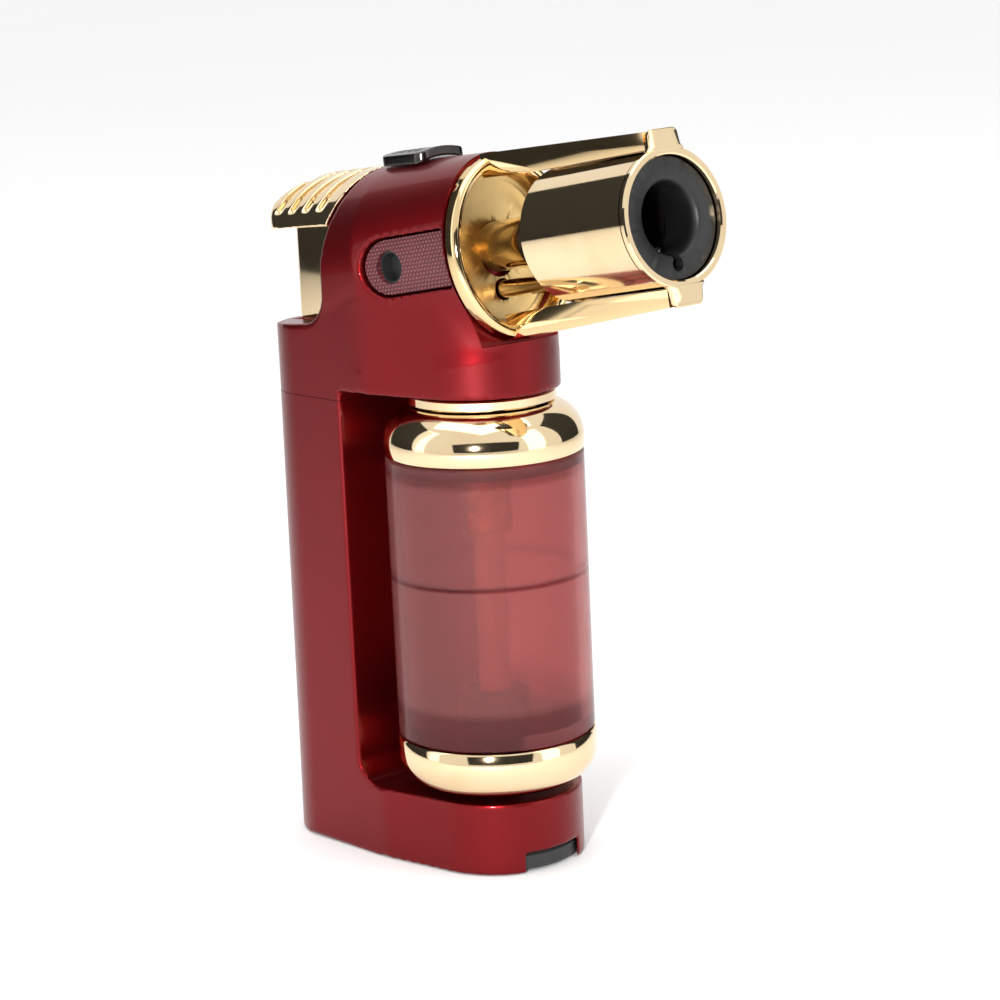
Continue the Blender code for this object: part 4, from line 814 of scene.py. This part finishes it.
post_hole = turned([(0, -40), (1.6, -40), (1.6, -30), (0, -30)], 32, "X")
bmesh.ops.translate(post_hole, verts=post_hole.verts, vec=(0, 0, -POST_DROP))
combine(guard, [room, post_hole])
soften(guard, 0.35, 3, 40)
fit(guard, "guard_dish", "body", BROWNED_GOLD, "gold_plate", "nozzle_guard", place=NOZZLE)


# ---- studio ------------------------------------------------------------------------------------
# A white sweep, two tall soft boxes and one overhead, a dark gap behind the camera, and a small flash
# beside the lens. The camera stands off the torch's front quarter, a little above it.
UNIT = 0.0145
AZIMUTH, ELEVATION, ROLL = math.radians(48.965), math.radians(12.18), math.radians(-2.637)
target = Vector((UPRIGHT.translation.x + 0.203 * UNIT, 0, 3.694 * UNIT))
level = math.cos(ELEVATION)
back = Vector((math.sin(AZIMUTH) * level, -math.cos(AZIMUTH) * level, math.sin(ELEVATION)))
right = Vector((math.cos(AZIMUTH), math.sin(AZIMUTH), 0))
up = back.cross(right)
right, up = (math.cos(ROLL) * right + math.sin(ROLL) * up,
             -math.sin(ROLL) * right + math.cos(ROLL) * up)
camera = bpy.data.objects.new("camera", bpy.data.cameras.new("camera"))
camera.data.lens = 109.94
camera.data.sensor_width = 36.0
camera.data.clip_start, camera.data.clip_end = 0.01, 20
place = target + back * 30.475 * UNIT
camera.matrix_world = Matrix((
    (right.x, up.x, back.x, place.x),
    (right.y, up.y, back.y, place.y),
    (right.z, up.z, back.z, place.z),
    (0, 0, 0, 1),
))
bpy.context.scene.collection.objects.link(camera)
bpy.context.scene.camera = camera


def pale(name, tone):
    """A matt studio surface with a trace of unevenness."""
    paper = Finish(name)
    cloud = paper.noise(180.0)
    colour = paper.blend(cloud, (tone, tone, tone, 1), (tone * 0.98, tone * 0.98, tone * 0.975, 1))
    return paper.surface(Base_Color=colour, Roughness=0.9)


def studio_sheet(name, width, height, middle, facing, material):
    """A flat sheet whose face looks along facing."""
    bm = bmesh.new()
    bmesh.ops.create_grid(bm, x_segments=1, y_segments=1, size=0.5)
    bmesh.ops.scale(bm, verts=bm.verts, vec=(width, height, 1))
    turn = Vector(facing).to_track_quat("Z", "Y").to_matrix().to_4x4()
    bmesh.ops.transform(bm, matrix=Matrix.Translation(middle) @ turn, verts=bm.verts)
    sheet = solid(bm, name)
    sheet.data.materials.append(material)
    return sheet


def lamp(name, width, height, middle, power):
    """A soft box that looks at the torch."""
    light = bpy.data.objects.new(name, bpy.data.lights.new(name, "AREA"))
    light.data.shape = "RECTANGLE"
    light.data.size, light.data.size_y = width, height
    light.data.energy = power
    turn = (Vector(middle) - target).to_track_quat("Z", "Y").to_matrix().to_4x4()
    light.matrix_world = Matrix.Translation(middle) @ turn
    bpy.context.scene.collection.objects.link(light)
    return light


def around(turn, lift, distance):
    """A point round the torch: degrees to the right of the camera, and above the floor."""
    a = AZIMUTH + math.radians(turn)
    e = math.radians(lift)
    return target + distance * Vector((math.sin(a) * math.cos(e), -math.cos(a) * math.cos(e),
                                       math.sin(e)))


studio_sheet("floor", 6.0, 6.0, (0, 0, -0.0002), (0, 0, 1), pale("floor_paper", 0.93))
FLAG = pale("black_flag", 0.02)
for name, turn, lift, width, height in (("dark_gap", 2, 14, 1.0, 0.34),
                                        ("dark_right", 118, 20, 0.5, 0.7),
                                        ("dark_far_left", -108, 20, 0.6, 0.7)):
    middle = around(turn, lift, 0.66)
    flag = studio_sheet(name, width, height, middle, target - middle, FLAG)
    flag.visible_camera = False
lamp("left_box", 0.2, 0.6, around(-80, 22, 0.62), 0.42)
lamp("right_box", 0.26, 0.6, around(62, 20, 0.62), 0.6)
lamp("top_box", 0.8, 0.8, target + Vector((0, 0, 0.75)), 3.2)
lamp("flash", 0.03, 0.06, around(-11, 13, 0.5), 2.2)
world = bpy.data.worlds.new("studio")
world.use_nodes = True
world.node_tree.nodes["Background"].inputs["Color"].default_value = (1.0, 1.0, 1.0, 1)
world.node_tree.nodes["Background"].inputs["Strength"].default_value = 1.0
bpy.context.scene.world = world
bpy.context.scene.view_settings.view_transform = "Standard"
